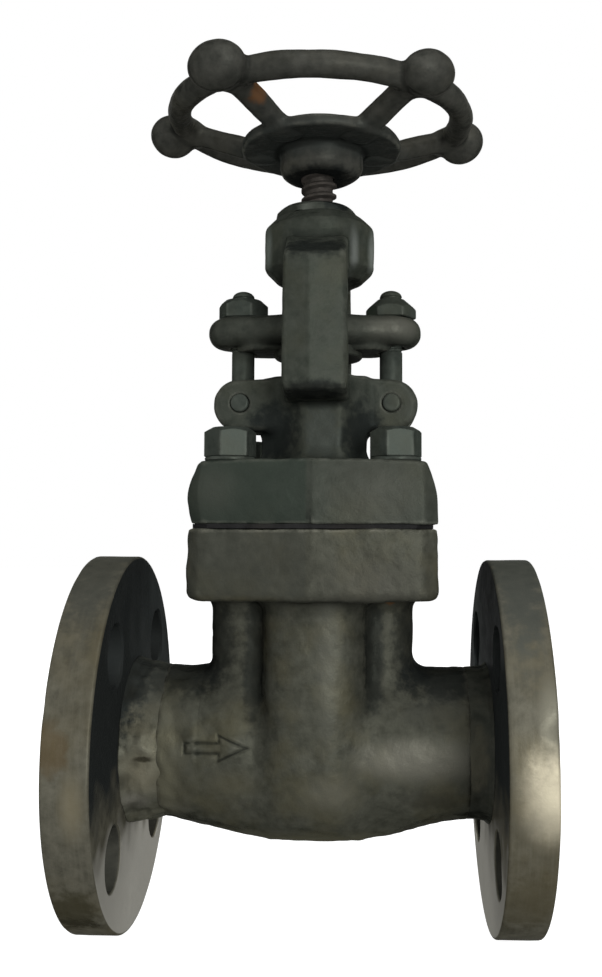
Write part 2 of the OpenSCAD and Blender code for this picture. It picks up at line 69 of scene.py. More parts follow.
stemLow, stemHigh = span("stem")
axisX = (stemLow[0] + stemHigh[0]) / 2  # the stem's axis, which all above the run stands round
bodyLow, bodyHigh = span("body")
bonnetLow, bonnetHigh = span("bonnet")
record = frame["record"]
bodyOf = {node: body for body, members in record["behaviour"]["bodies"].items() for node in members}


# All distance fields are negative inside a shape and positive outside.

# The lesser of a and b, less r/4 times h squared, where h falls from 1 where they are equal to 0 where they
# are r apart, which fills the crease between two shapes to about radius r.
def softMin(a, b, r):
    h = np.maximum(r - np.abs(a - b), 0) / r
    return np.minimum(a, b) - h * h * r / 4


def softMax(a, b, r):  # the greater of a and b, with the edge between them rounded to about radius r
    return -softMin(-a, -b, r)


def cutAway(shape, hole, edge=0.3):  # the shape outside the hole, with the edge between them rounded
    return softMax(shape, -hole, edge)


def boxed(side, end, r):  # inside two limits: the greater of them, outside both the straight distance, less r
    return np.minimum(np.maximum(side, end), 0) + np.hypot(np.maximum(side, 0), np.maximum(end, 0)) - r


def slab(flat, w, low, high, edge):  # a flat outline carried from low to high along w, its edges rounded
    return boxed(flat + edge, np.abs(w - (low + high) / 2) - (high - low) / 2 + edge, edge)


def rectangle(u, v, halfU, halfV, r):  # a flat rectangle with corners of radius r
    return boxed(np.abs(u) - halfU + r, np.abs(v) - halfV + r, r)


# A flat bar: the distance to the nearest point of a line, less a radius that goes from r0 to r1 along it.
def stretch(u, v, u0, v0, u1, v1, r0, r1):
    du, dv = u1 - u0, v1 - v0
    t = np.clip(((u - u0) * du + (v - v0) * dv) / (du * du + dv * dv), 0, 1)
    return np.hypot(u - u0 - t * du, v - v0 - t * dv) - (r0 + (r1 - r0) * t)


# The greatest of the distances to the sides, to the front and back, which rise to a ridge, and to a circle.
def squareOutline(x, y, half, ridge, corner, r):
    front = (np.abs(y) + np.abs(x) * ridge / half - half - ridge) / np.hypot(1, ridge / half)
    flat = softMax(front, np.abs(x) - half, r)
    return softMax(flat, np.hypot(x, y) - half * math.sqrt(2) + corner, r)


def ripple(seed, size, count=24):  # a smooth random height: a sum of cosines of random direction, size apart
    draw = np.random.default_rng(seed)
    way = draw.normal(size=(count, 3))
    way *= (2 * math.pi / size * draw.uniform(0.5, 1.6, count) / np.linalg.norm(way, axis=1))[:, None]
    phase = draw.uniform(0, 2 * math.pi, count)
    return lambda p: np.cos(p @ way.T + phase).sum(-1) / math.sqrt(count / 2)


# Faces are rows of point numbers: quads first, then triangles. Edges that turn by more than sharp stay sharp.
def meshOf(name, points, quads, triangles=(), sharp=None):
    quads = np.asarray(quads, np.int32).reshape(-1, 4)
    triangles = np.asarray(triangles, np.int32).reshape(-1, 3)
    mesh = bpy.data.meshes.new(name)
    mesh.vertices.add(len(points))
    mesh.vertices.foreach_set("co", (np.asarray(points) * mm).astype(np.float32).ravel())
    corners = np.concatenate([quads.ravel(), triangles.ravel()])
    mesh.loops.add(len(corners))
    mesh.loops.foreach_set("vertex_index", corners)
    starts = np.concatenate([4 * np.arange(len(quads)), 4 * len(quads) + 3 * np.arange(len(triangles))])
    mesh.polygons.add(len(starts))
    mesh.polygons.foreach_set("loop_start", starts.astype(np.int32))
    mesh.update(calc_edges=True)
    mesh.validate()
    mesh.shade_smooth()
    if sharp:
        mesh.set_sharp_from_angle(angle=math.radians(sharp))
    piece = bpy.data.objects.new(name, mesh)
    bpy.context.scene.collection.objects.link(piece)
    return piece


def pointsOf(mesh):  # a mesh's points, one row each, in millimetres
    flat = np.zeros(3 * len(mesh.vertices))
    mesh.vertices.foreach_get("co", flat)
    return flat.reshape(-1, 3) / mm


def setLayer(piece, name, values):  # a number at each point, for the materials
    layer = piece.data.attributes.new(name, "FLOAT", "POINT")
    layer.data.foreach_set("value", np.asarray(values, np.float32))


def joinTo(piece, other):  # makes the other object part of the piece's mesh
    with bpy.context.temp_override(active_object=piece, selected_editable_objects=[piece, other], object=piece):
        bpy.ops.object.join()


def slope(field, points, step):  # the field's gradient, by central differences
    parts = []
    for axis in range(3):
        move = np.zeros(3)
        move[axis] = step
        parts.append((field(*(points + move).T) - field(*(points - move).T)) / (2 * step))
    return np.stack(parts, 1)


def cutFiner(piece, low, high, cuts):  # cuts each edge inside a box, and the faces between, into shorter ones
    work = bmesh.new()
    work.from_mesh(piece.data)
    inside = {v for v in work.verts if all(a * mm < c < b * mm for a, c, b in zip(low, v.co, high))}
    edges = [e for e in work.edges if e.verts[0] in inside and e.verts[1] in inside]
    bmesh.ops.subdivide_edges(work, edges=edges, cuts=cuts, use_grid_fill=True)
    work.to_mesh(piece.data)
    work.free()


# Where only two opposite corners of a grid face are inside, a third is taken in, just below zero, so that
# no edge of the mesh gets four faces. It goes twice round the three planes.
def takeInCorners(value, little):
    for a, b in 2 * ((0, 1), (1, 2), (0, 2)):
        face = np.moveaxis(value, (a, b), (0, 1))
        here = face < 0
        first, aside = here[:-1, :-1], here[1:, :-1]
        crossed = (first == here[1:, 1:]) & (aside == here[:-1, 1:]) & (first != aside)
        face[1:, :-1][crossed & first] = -little
        face[:-1, :-1][crossed & ~first] = -little


# One point for each grid cell that the surface crosses, at the mean of the crossings on the cell's edges,
# in grid steps, and the number of each cell's point.
def cellPoints(value):
    inside = value < 0
    size = [n - 1 for n in inside.shape]
    corners = np.array([(i, j, k) for i in (0, 1) for j in (0, 1) for k in (0, 1)])
    count = np.zeros(size, np.int8)
    for c in corners:
        count += inside[c[0]:c[0] + size[0], c[1]:c[1] + size[1], c[2]:c[2] + size[2]]
    active = (count > 0) & (count < 8)
    cell = np.argwhere(active)
    number = np.full(size, -1, np.int64)
    number[active] = np.arange(len(cell))
    at = [value[tuple((cell + c).T)] for c in corners]
    total, hits = np.zeros((len(cell), 3)), np.zeros(len(cell))
    for a in range(8):
        for b in range(a + 1, 8):
            if np.abs(corners[a] - corners[b]).sum() == 1:
                crossed = (at[a] < 0) != (at[b] < 0)
                t = np.where(crossed, at[a] / np.where(crossed, at[a] - at[b], 1), 0)
                total += crossed[:, None] * (corners[a] + t[:, None] * (corners[b] - corners[a]))
                hits += crossed
    return cell + total / hits[:, None], number


# Four cells meet at each grid edge whose ends lie on two sides of the surface: their points make a face,
# turned so that it looks outwards.
def cellFaces(inside, number):
    quads = []
    for axis in range(3):
        b, c = (axis + 1) % 3, (axis + 2) % 3
        first = np.take(inside, np.arange(inside.shape[axis] - 1), axis)
        second = np.take(inside, np.arange(1, inside.shape[axis]), axis)
        edge = np.argwhere(first != second)
        outward = first[tuple(edge.T)]
        ring = []
        for db, dc in ((-1, -1), (0, -1), (0, 0), (-1, 0)):
            move = np.zeros(3, int)
            move[b], move[c] = db, dc
            ring.append(number[tuple((edge + move).T)])
        ring = np.stack(ring, 1)
        quads.append(np.where(outward[:, None], ring, ring[:, ::-1]))
    return np.concatenate(quads)


# Times that points are settled; then parts of a grid step, but for wearReach, which is in millimetres.
meshing = {"settle": 3, "probe": 0.2, "reach": 0.5, "little": 0.02, "wearReach": 1.1}


# The surface where a field is zero. Its points are moved onto it along the gradient, by the field's value
# over the slope. The wear is the field's second difference, its convexity. The texture's height is added
# along the gradient last. fine is a box, and how many cuts the edges inside it get.
def fieldMesh(name, field, low, high, step, texture=None, fine=None):
    axes = [np.arange(a - 2.4 * step, b + 3 * step, step) for a, b in zip(low, high)]
    value = field(*np.meshgrid(*axes, indexing="ij", sparse=True))
    takeInCorners(value, meshing["little"] * step)
    points, number = cellPoints(value)
    points = np.array([axis[0] for axis in axes]) + step * points
    piece = meshOf(name, points, cellFaces(value < 0, number))
    if fine:
        cutFiner(piece, *fine)
    points = pointsOf(piece.data)
    probe, reach = meshing["probe"] * step, meshing["reach"] * step
    for _ in range(meshing["settle"]):
        way = slope(field, points, probe)
        move = -field(*points.T)[:, None] * way / np.maximum((way ** 2).sum(1), 0.05)[:, None]
        points += np.clip(move, -reach, reach)
    wide = meshing["wearReach"]
    around = sum(field(*(points + m).T) for m in wide * np.concatenate([np.eye(3), -np.eye(3)]))
    wear = (around - 6 * field(*points.T)) / (wide * wide)
    if texture:
        way = slope(field, points, probe)
        way /= np.maximum(np.linalg.norm(way, axis=1), 0.2)[:, None]
        points = points + texture(points)[:, None] * way
    piece.data.vertices.foreach_set("co", (points * mm).ravel())
    piece.data.update()
    setLayer(piece, "wear", wear)
    print("made", name, len(points), "points")
    return piece


# A surface of rings: points has one row for each point of the profile, and goes once round in each row.
# A row whose points all meet is a pole, closed with triangles; a closed profile joins its last row to its first.
def ringMesh(name, points, closed=False, sharp=None, wear=None):
    rows, around = points.shape[:2]
    index = np.arange(rows * around).reshape(rows, around)
    pole = np.ptp(points, axis=1).max(axis=1) < 1e-6
    index[pole] = index[pole][:, :1]
    quads, triangles = [], []
    for i in range(rows if closed else rows - 1):
        a, b = index[i], index[(i + 1) % rows]
        a2, b2 = np.roll(a, -1), np.roll(b, -1)
        if pole[i]:
            triangles.append(np.stack([a, b2, b], 1))
        elif pole[(i + 1) % rows]:
            triangles.append(np.stack([a, a2, b], 1))
        else:
            quads.append(np.stack([a, a2, b2, b], 1))
    used = np.unique(np.concatenate([np.concatenate(f).ravel() for f in (quads, triangles) if f]))
    back = np.full(rows * around, -1)
    back[used] = np.arange(len(used))
    quads = back[np.concatenate(quads)] if quads else ()
    triangles = back[np.concatenate(triangles)] if triangles else ()
    piece = meshOf(name, points.reshape(-1, 3)[used], quads, triangles, sharp=sharp)
    if wear is not None:
        setLayer(piece, "wear", np.broadcast_to(wear, (rows, around)).reshape(-1)[used])
    return piece


def roundAngles(around):  # equal turns, once round
    return 2 * math.pi * np.arange(around) / around


# Rings about the z axis: radius times the cosine and sine of the turn, at a height, from values of
# (profile, around), then laid along another axis and moved.
def turned(radius, height, around, place=(0, 0, 0), axis="z"):
    angle = roundAngles(around)
    radius = np.broadcast_to(radius, (len(radius), around))
    height = np.broadcast_to(height, radius.shape)
    x, y = radius * np.cos(angle), radius * np.sin(angle)
    order = {"z": (x, y, height), "x": (height, x, y), "-y": (x, -height, y)}[axis]
    return np.stack(order, -1) + np.array(place)


def column(values):  # a profile's values as a column, to spread round the rings
    return np.asarray(values, float)[:, None]


def standFor(piece, material, node):  # rides on its CAD node's body, replaces the node and takes its slot
    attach(piece, bodyOf[node])
    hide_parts(node)
    piece.data.materials.clear()
    piece.data.materials.append(material)


def addNode(material, kind, **values):  # a node with its settings, or the values of its sockets, filled in
    node = material.node_tree.nodes.new(kind)
    for key, value in values.items():
        if hasattr(node, key):
            setattr(node, key, value)
        else:
            node.inputs[key].default_value = value
    return node


# What a skin has unless its own look says otherwise. Scales are of noise, in cells to a metre.
plainSkin = {"mottleScale": 330, "patchScale": 70, "grainScale": 1100, "stainAmount": 0.5, "wearFrom": 0.35,
             "wearAmount": 0.45, "dirtAndShadeAmount": 0.75, "roughSpread": 0.08, "metal": 0.25, "specular": 0.0,
             "edge": (0.3, 0.3, 0.3), "bump": 0.45, "patches": ()}


# Steel with a skin: two tones mottled by noise, stains over the low frequencies, worn metal where the surface is
# convex, dirt and painted shade where it is hollow, patches inside ragged ellipsoids, several of them painted light
# or shade, and a bump of two grain sizes.
def skin(name, look):
    look = {**plainSkin, **look}
    material = bpy.data.materials.new(name)
    material.use_nodes = True
    link = material.node_tree.links.new
    shader = material.node_tree.nodes["Principled BSDF"]
    place = addNode(material, "ShaderNodeTexCoord").outputs["Object"]

    def noise(scale, detail=4.0, rough=0.55, stretched=None):  # stretched is the scale along each axis
        node = addNode(material, "ShaderNodeTexNoise", Scale=scale, Detail=detail, Roughness=rough)
        if stretched:
            turn = addNode(material, "ShaderNodeMapping", Scale=stretched)
            link(place, turn.inputs["Vector"])
            link(turn.outputs["Vector"], node.inputs["Vector"])
        else:
            link(place, node.inputs["Vector"])
        return node.outputs["Fac"]

    def spread(value, low, high, toLow=0.0, toHigh=1.0, smooth=False):  # low to high becomes toLow to toHigh
        node = addNode(material, "ShaderNodeMapRange")
        if smooth:
            node.interpolation_type = "SMOOTHSTEP"
        for i, v in zip((1, 2, 3, 4), (low, high, toLow, toHigh)):
            node.inputs[i].default_value = v
        link(value, node.inputs[0])
        return node.outputs[0]

    def fill(sockets, values, extra=()):  # a number or colour is set on its socket, and an output is linked to it
        for socket, value in zip(sockets, values):
            if isinstance(value, (int, float)):
                socket.default_value = value
            elif isinstance(value, tuple):
                socket.default_value = (*value, *extra)
            else:
                link(value, socket)

    def combine(kind, a, b):
        node = addNode(material, "ShaderNodeMath", operation=kind)
        fill(node.inputs, (a, b))
        return node.outputs[0]

    def vector(kind, *values):
        node = addNode(material, "ShaderNodeVectorMath", operation=kind)
        fill(node.inputs, values)
        return node.outputs

    def mix(factor, a, b):  # colour a where the factor is 0, and b where it is 1
        node = addNode(material, "ShaderNodeMix", data_type="RGBA")
        fill((node.inputs[0], node.inputs[6], node.inputs[7]), (factor, a, b), extra=(1,))
        return node.outputs[2]

    # painted shade on the left flat of a flange's front, where less light falls
    def facetFactor(edge, low, high, amount):  # a flat of the front: left of an edge, between two heights
        axes = addNode(material, "ShaderNodeSeparateXYZ")
        link(place, axes.inputs[0])
        factor = spread(axes.outputs[0], (edge + 0.4) * mm, (edge - 0.4) * mm, 0, amount)
        factor = combine("MULTIPLY", factor, spread(axes.outputs[1], -24 * mm, -26 * mm))
        for rim, way in ((low, 0.5), (high, -0.5)):
            factor = combine("MULTIPLY", factor, spread(axes.outputs[2], (rim - way) * mm, (rim + way) * mm))
        return factor

    def patchFactor(centre, radii, amount, soft=False):  # falls off with the distance from the centre, in radii
        away = vector("SUBTRACT", place, tuple(v * mm for v in centre))[0]
        far = vector("LENGTH", vector("DIVIDE", away, tuple(v * mm for v in radii))[0])["Value"]
        ragged = 0.1 if soft else 0.25
        far = combine("ADD", far, spread(mottle, 0.3, 0.7, -ragged, ragged))
        return spread(far, 1.15, 0.1 if soft else 0.55, 0, amount, True)

    convex = addNode(material, "ShaderNodeAttribute", attribute_name="wear").outputs["Fac"]
    mottle = noise(look["mottleScale"], 7, 0.62)
    stain = noise(look["patchScale"], 4)
    colour = mix(spread(mottle, 0.32, 0.68), look["dark"], look["light"])
    colour = mix(spread(stain, 0.48, 0.7, 0, look["stainAmount"]), colour, look["stain"])
    if "streak" in look:
        line = noise(1, 5, 0.6, look["streak"])
        colour = mix(spread(line, 0.45, 0.75, 0, 0.5), colour, look["light"])
    # painted shade: the left flat of the front is tinted darker
    if "facet" in look:
        edge, low, high, tint, amount = look["facet"]
        colour = mix(facetFactor(edge, low, high, amount), colour, tint)
    for centre, radii, tint, *amount in look["patches"]:
        colour = mix(patchFactor(centre, radii, *amount), colour, tint)
    # painted shade where the shade layer is 1, and painted light where it is -1
    if "shade" in look:  # dark where the shade layer is 1, and bright where it is -1
        shade = addNode(material, "ShaderNodeAttribute", attribute_name="shade").outputs["Fac"]
        colour = mix(spread(shade, 0.1, 0.9, 0, 0.95), colour, look["shade"][0])
        colour = mix(spread(shade, -0.1, -0.9, 0, 0.85), colour, look["shade"][1])
    edge = combine("MULTIPLY", spread(convex, look["wearFrom"], 1.2), spread(mottle, 0.4, 0.62, 0.15, 1))
    colour = mix(combine("MULTIPLY", edge, look["wearAmount"]), colour, look["worn"])
    # dirt and painted shade in the hollows, where the surface is concave
    colour = mix(spread(convex, -0.06, -0.6, 0, look["dirtAndShadeAmount"]), colour, look["dirtAndShade"])
    link(colour, shader.inputs["Base Color"])
    rough, apart = look["rough"], look["roughSpread"]
    link(spread(mottle, 0.3, 0.7, rough - apart, rough + apart), shader.inputs["Roughness"])
    shader.inputs["Metallic"].default_value = look["metal"]
    shader.inputs["Specular IOR Level"].default_value = look["specular"]
    shader.inputs["Specular Tint"].default_value = (*look["edge"], 1)
    grain = combine("ADD", noise(look["grainScale"], 3), combine("MULTIPLY", mottle, 0.9))
    bump = addNode(material, "ShaderNodeBump", Strength=look["bump"], Distance=0.0002)
    link(grain, bump.inputs["Height"])
    link(bump.outputs["Normal"], shader.inputs["Normal"])
    return material


# A patch is a centre, three radii, a tint, an amount, and True where its edge is soft. Where patches
# overlap, the later lies over the earlier.
# paintedShade is a near-black tint for painted shade on sides, undersides and hollows that lie in shadow
paintedShade = (0.010, 0.012, 0.012)
forged = skin("forgedOxide", {
    "dark": (0.034, 0.035, 0.027), "light": (0.06, 0.061, 0.048), "stain": (0.066, 0.06, 0.034),
    "worn": (0.17, 0.166, 0.135), "dirtAndShade": (0.009, 0.010, 0.008), "rough": 0.46,
    # painted shade on the left flat of the flange's front
    "facet": (axisX - 1.2, 40, 57, (0.034, 0.036, 0.03), 0.55),
    "patches": [
        ((axisX + 19.4, -13, 38.3), (1.6, 2, 1.6), (0.13, 0.055, 0.018), 0.7),
        # painted shade: the neck's sides, the run's top beside them, and the valleys beside the boss
        ((axisX - 26, 0, 27), (7, 30, 15), paintedShade, 0.5),
        ((axisX + 26, 0, 27), (7, 30, 15), paintedShade, 0.55),
        ((axisX - 33, -4, 18), (12, 16, 6), paintedShade, 0.6),
        ((axisX + 32, -4, 17), (14, 16, 8), paintedShade, 0.75),
        ((axisX - 15.5, -13, 22), (3.2, 7, 24), paintedShade, 0.6),
        ((axisX + 15.2, -13, 24), (3, 7, 22), paintedShade, 0.6),
        # painted highlight: a band along the front of the right run
        ((axisX + 26, -20, -1.2), (19, 6, 6.5), (0.125, 0.122, 0.1), 0.85, True),
        ((axisX + 30, -18, -11.5), (10, 12, 4), (0.022, 0.022, 0.018), 0.6, True),
        # painted highlight: an upright streak down the boss
        ((axisX + 4, -24, 24), (5, 3, 26), (0.095, 0.097, 0.08), 0.6, True),
        ((axisX, -31, 46), (36, 6, 10), (0.033, 0.034, 0.028), 0.35, True),
        # painted shade on the top of the right run
        ((93, -16, 10), (14, 10, 6), (0.03, 0.031, 0.026), 0.6, True),
        # painted light on the right flat of the flange's front
        ((axisX + 14, -31, 43), (17, 6, 9), (0.046, 0.045, 0.038), 0.5, True),
        ((27, -18, 8.5), (6, 8, 3), (0.08, 0.08, 0.062), 0.5, True),
        ((26, -15, -15), (6, 8, 3), (0.085, 0.083, 0.066), 0.5, True),
        ((93, -19, -2), (14, 8, 9), (0.045, 0.045, 0.036), 0.35, True),
        ((axisX - 38.5, -15, -4), (9, 13, 17), (0.10, 0.096, 0.066), 0.75, True),
        ((axisX - 21, -20, -8), (9, 6, 5), (0.075, 0.07, 0.045), 0.5, True),
        # painted highlight on the front of the belly
        ((axisX + 5, -22, -9), (9, 8, 6), (0.1, 0.098, 0.078), 0.45, True),
        ((axisX - 2, -12, -24), (34, 12, 5), (0.1, 0.096, 0.064), 0.55, True)]})
bonnetSkin = skin("bonnetOxide", {
    "dark": (0.027, 0.031, 0.025), "light": (0.043, 0.047, 0.039), "stain": (0.043, 0.044, 0.031),
    "worn": (0.13, 0.135, 0.112), "dirtAndShade": (0.008, 0.010, 0.009), "rough": 0.48,
    # painted shade on the left flat of the flange's front
    "facet": (axisX - 1.2, 57, 74.5, (0.024, 0.031, 0.025), 0.75),
    "patches": [
        ((axisX - 24, -29, 66), (9, 6, 8), (0.05, 0.052, 0.043), 0.5, True),
        # painted light on the right flat of the flange's front
        ((axisX + 14, -29, 65), (18, 6, 14), (0.053, 0.053, 0.044), 0.7, True),
        # painted shade on the neck's sides, between the bolts
        ((axisX - 11, 0, 82), (9, 30, 10), paintedShade, 0.8),
        ((axisX + 12, 0, 82), (7, 30, 10), paintedShade, 0.8),
        # painted light on the neck's front flat
        ((axisX + 1.6, -15, 82), (5, 6, 8), (0.046, 0.052, 0.046), 0.7),
        # painted shade on the sloped top of the front arm, under the wheel
        ((axisX, -27, 129.5), (13, 9, 5.6), (0.012, 0.014, 0.013), 0.85),
        ((axisX - 0.5, -23, 91.5), (10, 7, 3.2), (0.012, 0.013, 0.012), 0.85),
        # painted highlights: upright streaks on the edges of the yoke's head
        ((axisX - 13.3, -7, 132), (1.8, 5, 8), (0.1, 0.11, 0.1), 0.8, True),
        ((axisX + 10, -11.4, 130), (1.7, 3, 8), (0.12, 0.13, 0.12), 0.8, True),
        ((axisX + 14.6, -4, 131), (1.6, 5, 8), (0.12, 0.13, 0.12), 0.8, True)]})
wheelSkin = skin("castWheel", {
    "dark": (0.028, 0.029, 0.025), "light": (0.052, 0.052, 0.045), "stain": (0.046, 0.044, 0.034),
    "worn": (0.12, 0.12, 0.1), "dirtAndShade": (0.008, 0.009, 0.008), "rough": 0.46, "wearFrom": 0.6,
    "patches": [
        ((axisX - 14.4, -28, 166.5), (3, 3.4, 3.2), (0.13, 0.062, 0.026), 0.75),
        ((axisX, 0, 160.4), (36, 36, 5), (0.033, 0.037, 0.034), 1.0, True),
        # painted shade under the hub
        ((axisX, 0, 153.2), (12, 12, 2), paintedShade, 0.8)]})
flangeSteel = skin("flangeSteel", {
    "dark": (0.052, 0.05, 0.038), "light": (0.1, 0.096, 0.074), "stain": (0.066, 0.056, 0.031),
    "worn": (0.24, 0.23, 0.19), "dirtAndShade": (0.01, 0.01, 0.008), "rough": 0.44, "mottleScale": 300, "patchScale": 34,
    "stainAmount": 0.75, "bump": 0.25, "streak": (900, 60, 60),
    # the tints for painted shade and painted light, picked by the shade layer
    "shade": ((0.02, 0.023, 0.023), (0.28, 0.274, 0.245)),
    "patches": [
        ((7, 0, 47), (8, 60, 26), (0.052, 0.054, 0.046), 0.7),
        ((113, 0, 47), (8, 60, 34), (0.055, 0.06, 0.053), 0.75),
        ((6, -40, -36), (8, 18, 9), (0.036, 0.033, 0.02), 0.75),
        ((112, -40, -30), (9, 18, 9), (0.06, 0.053, 0.032), 0.5),
        ((4, -46, 6), (5, 8, 7), (0.09, 0.062, 0.03), 0.4),
        ((9, -46, -6), (4, 8, 10), (0.16, 0.14, 0.09), 0.6, True),
        # painted sheen where the outlet rim faces the light
        ((117, -48, -3), (9, 8, 13), (0.4, 0.365, 0.27), 0.95, True),
        ((117, -46, 16), (4, 6, 11), (0.17, 0.165, 0.13), 0.6, True)]})
weldMetal = skin("weldMetal", {
    "dark": (0.048, 0.049, 0.037), "light": (0.085, 0.085, 0.066), "stain": (0.075, 0.066, 0.041),
    "worn": (0.13, 0.13, 0.104), "dirtAndShade": (0.012, 0.012, 0.009), "rough": 0.42, "mottleScale": 420,
    "patches": [
        # painted shade over the top of the weld
        ((10, -12, 17), (9, 20, 20), paintedShade, 0.95),
        ((18, -6, 18), (14, 27, 12.5), (0.029, 0.032, 0.029), 0.9, True),
        ((18, -19, -5), (7, 8, 8), (0.15, 0.14, 0.1), 0.8, True),
        ((16, -17, -13), (5, 6, 4), (0.17, 0.165, 0.14), 0.6, True),
        ((19, -21, -1.5), (3.2, 3, 0.9), (0.018, 0.016, 0.01), 0.8)]})
# weld metal darkened as painted shade, for the outlet weld, which lies in shadow
paintedShadeWeld = skin("paintedShadeWeld", {
    "dark": (0.024, 0.026, 0.021), "light": (0.042, 0.044, 0.036), "stain": (0.045, 0.043, 0.03),
    "worn": (0.08, 0.078, 0.062), "dirtAndShade": (0.009, 0.01, 0.009), "rough": 0.45,
    "patches": [((103, -19, -1), (3, 8, 9), (0.075, 0.072, 0.052), 0.7)]})
boltSteel = skin("boltSteel", {
    "dark": (0.029, 0.034, 0.029), "light": (0.046, 0.053, 0.045), "stain": (0.04, 0.042, 0.031),
    "worn": (0.13, 0.14, 0.12), "dirtAndShade": (0.008, 0.009, 0.008), "rough": 0.42, "bump": 0.25})
glandSteel = skin("glandSteel", {
    "dark": (0.026, 0.029, 0.024), "light": (0.043, 0.046, 0.038), "stain": (0.038, 0.039, 0.029),
    "worn": (0.12, 0.12, 0.1), "dirtAndShade": (0.008, 0.009, 0.008), "rough": 0.42,
    # painted highlight along the right end of the plate
    "patches": [((axisX + 21, -7, 110.5), (13, 5, 4.5), (0.085, 0.085, 0.071), 0.75, True)]})
yokeNutSteel = skin("yokeNutSteel", {
    "dark": (0.026, 0.029, 0.024), "light": (0.042, 0.046, 0.038), "stain": (0.036, 0.037, 0.028),
    "worn": (0.12, 0.12, 0.1), "dirtAndShade": (0.008, 0.009, 0.007), "rough": 0.42,
    "patches": [
        # painted shade on the nut's right side, and painted light on a flat left of the middle
        ((axisX + 6, -9, 145), (7, 7, 3.5), paintedShade, 0.85),
        ((axisX - 3, -11, 143), (2.5, 4, 4), (0.07, 0.075, 0.065), 0.6, True)]})
stemSteel = skin("stemSteel", {
    "dark": (0.029, 0.027, 0.024), "light": (0.052, 0.047, 0.042), "stain": (0.04, 0.034, 0.028),
    "worn": (0.11, 0.098, 0.085), "dirtAndShade": (0.009, 0.008, 0.007), "rough": 0.4, "mottleScale": 500})
seatSteel = skin("seatSteel", {
    "dark": (0.36, 0.36, 0.34), "light": (0.5, 0.5, 0.48), "stain": (0.38, 0.35, 0.28),
    "worn": (0.6, 0.6, 0.57), "dirtAndShade": (0.1, 0.1, 0.09), "rough": 0.3, "metal": 0.9, "bump": 0.15,
    "specular": 0.5, "edge": (1, 1, 1)})
graphite = skin("graphite", {
    "dark": (0.012, 0.012, 0.012), "light": (0.022, 0.022, 0.022), "stain": (0.02, 0.018, 0.015),
    "worn": (0.05, 0.05, 0.05), "dirtAndShade": (0.008, 0.008, 0.008), "rough": 0.6})
print("materials ready")


bodyShape = {
    "step": 0.675,
    "runR": 19.8, "runEnd": 39.5, "runThin": (0.25, 0.1), "bellyThin": (0.45, 0.75), "thinFrom": 20, "thinOver": 15,
    "coreHalf": 26, "coreIn": 1.6, "domeAt": -12.2, "domeEdge": 9.0, "stubIn": -30, "runJoin": 1.5, "stubJoin": 1,
    "bellyR": 19.1, "bellySag": 6.25, "bellyShift": -1.0, "bellyHalf": 38.3, "bellyFull": 1.35, "bellyJoin": 2.5,
    "lobeHalf": 26.6, "lobeDepth": 12.5, "lobeCorner": 8.2, "lobeShift": -1.1, "lobeJoin": 4.5,
    "bossHalf": 13.2, "bossDepth": 24.0, "bossCorner": 10.8, "bossJoin": 3.2, "bossToe": 7, "bossIn": 0.15,
    "flangeLow": 38.7, "flangeHalf": 31.2, "ridge": 2.4, "corner": 2.4, "lean": 0.45, "flangeJoin": 4.5,
    "cornerR": 0.9, "lowerR": 3, "upperR": 0.8,
    "boreR": 9.0, "chamberR": 14.6, "chamberLow": -13.5, "seatR": 12.45, "seatBack": 16.0,
    "boltAt": 21.0, "boltR": 3.2, "boltDeep": 12.0,
    "arrowTail": -32.4, "arrowNeck": -23.8, "arrowTip": -17.0, "arrowShaft": 1.25, "arrowHead": 3.0,
    "arrowZ": 1.3, "arrowLine": 0.5, "arrowDeep": 0.36, "arrowCuts": 2,
    "swell": 0.09, "mark": 0.05, "spatter": 0.16, "spatterAt": -37, "spatterWide": 6.5}
past = 5  # how far a hole's cutter runs on past the face it opens in


def arrowLine(x, z, s):  # distance to the outline of the flow arrow, the nearer of a bar's and a triangle's
    u, v = x - s["arrowTail"], np.abs(z - s["arrowZ"])
    neck, run = s["arrowNeck"] - s["arrowTail"], s["arrowTip"] - s["arrowNeck"]
    bar = np.maximum(np.abs(u - neck / 2 - 0.5) - neck / 2 - 0.5, v - s["arrowShaft"])
    side = (v * run + (u - neck - run) * s["arrowHead"]) / math.hypot(run, s["arrowHead"])
    return np.minimum(bar, np.maximum(neck - u, side))


# The run is a round bar, its left half ending in a dome beside the boss, over a belly whose middle sags
# as a cosine. The distance to the belly is divided by the length of its slope.
def runField(x, y, z, s):
    pipe = np.hypot(y, z)
    end = s["runEnd"]
    near = np.clip((np.abs(x) - s["thinFrom"]) / s["thinOver"], 0, 1)
    bar = pipe - s["runR"] + np.where(x < 0, *s["runThin"]) * near
    run = slab(pipe - s["runR"] + s["coreIn"], x, -s["coreHalf"], s["coreHalf"], 1)
    run = softMin(run, slab(bar, x, -end, s["domeAt"], s["domeEdge"]), s["runJoin"])
    run = softMin(run, slab(bar, x, 0, end, 0.6), s["runJoin"])
    run = softMin(run, slab(bar, x, -end, s["stubIn"], 0.4), s["stubJoin"])
    t = np.minimum(np.abs(x - s["bellyShift"]) / s["bellyHalf"], 1)
    full = s["bellyFull"]
    turn = math.pi / 2 * t ** full
    sag = s["bellySag"] * np.cos(turn)
    fall = s["bellySag"] / s["bellyHalf"] * math.pi / 2 * full * t ** (full - 1) * np.sin(turn)
    thin = np.where(x < 0, *s["bellyThin"]) * near
    belly = (np.hypot(y, z + sag) - s["bellyR"] + thin) / np.hypot(1, fall)
    return softMin(run, slab(belly, x, -end, end, 0.6), s["bellyJoin"])


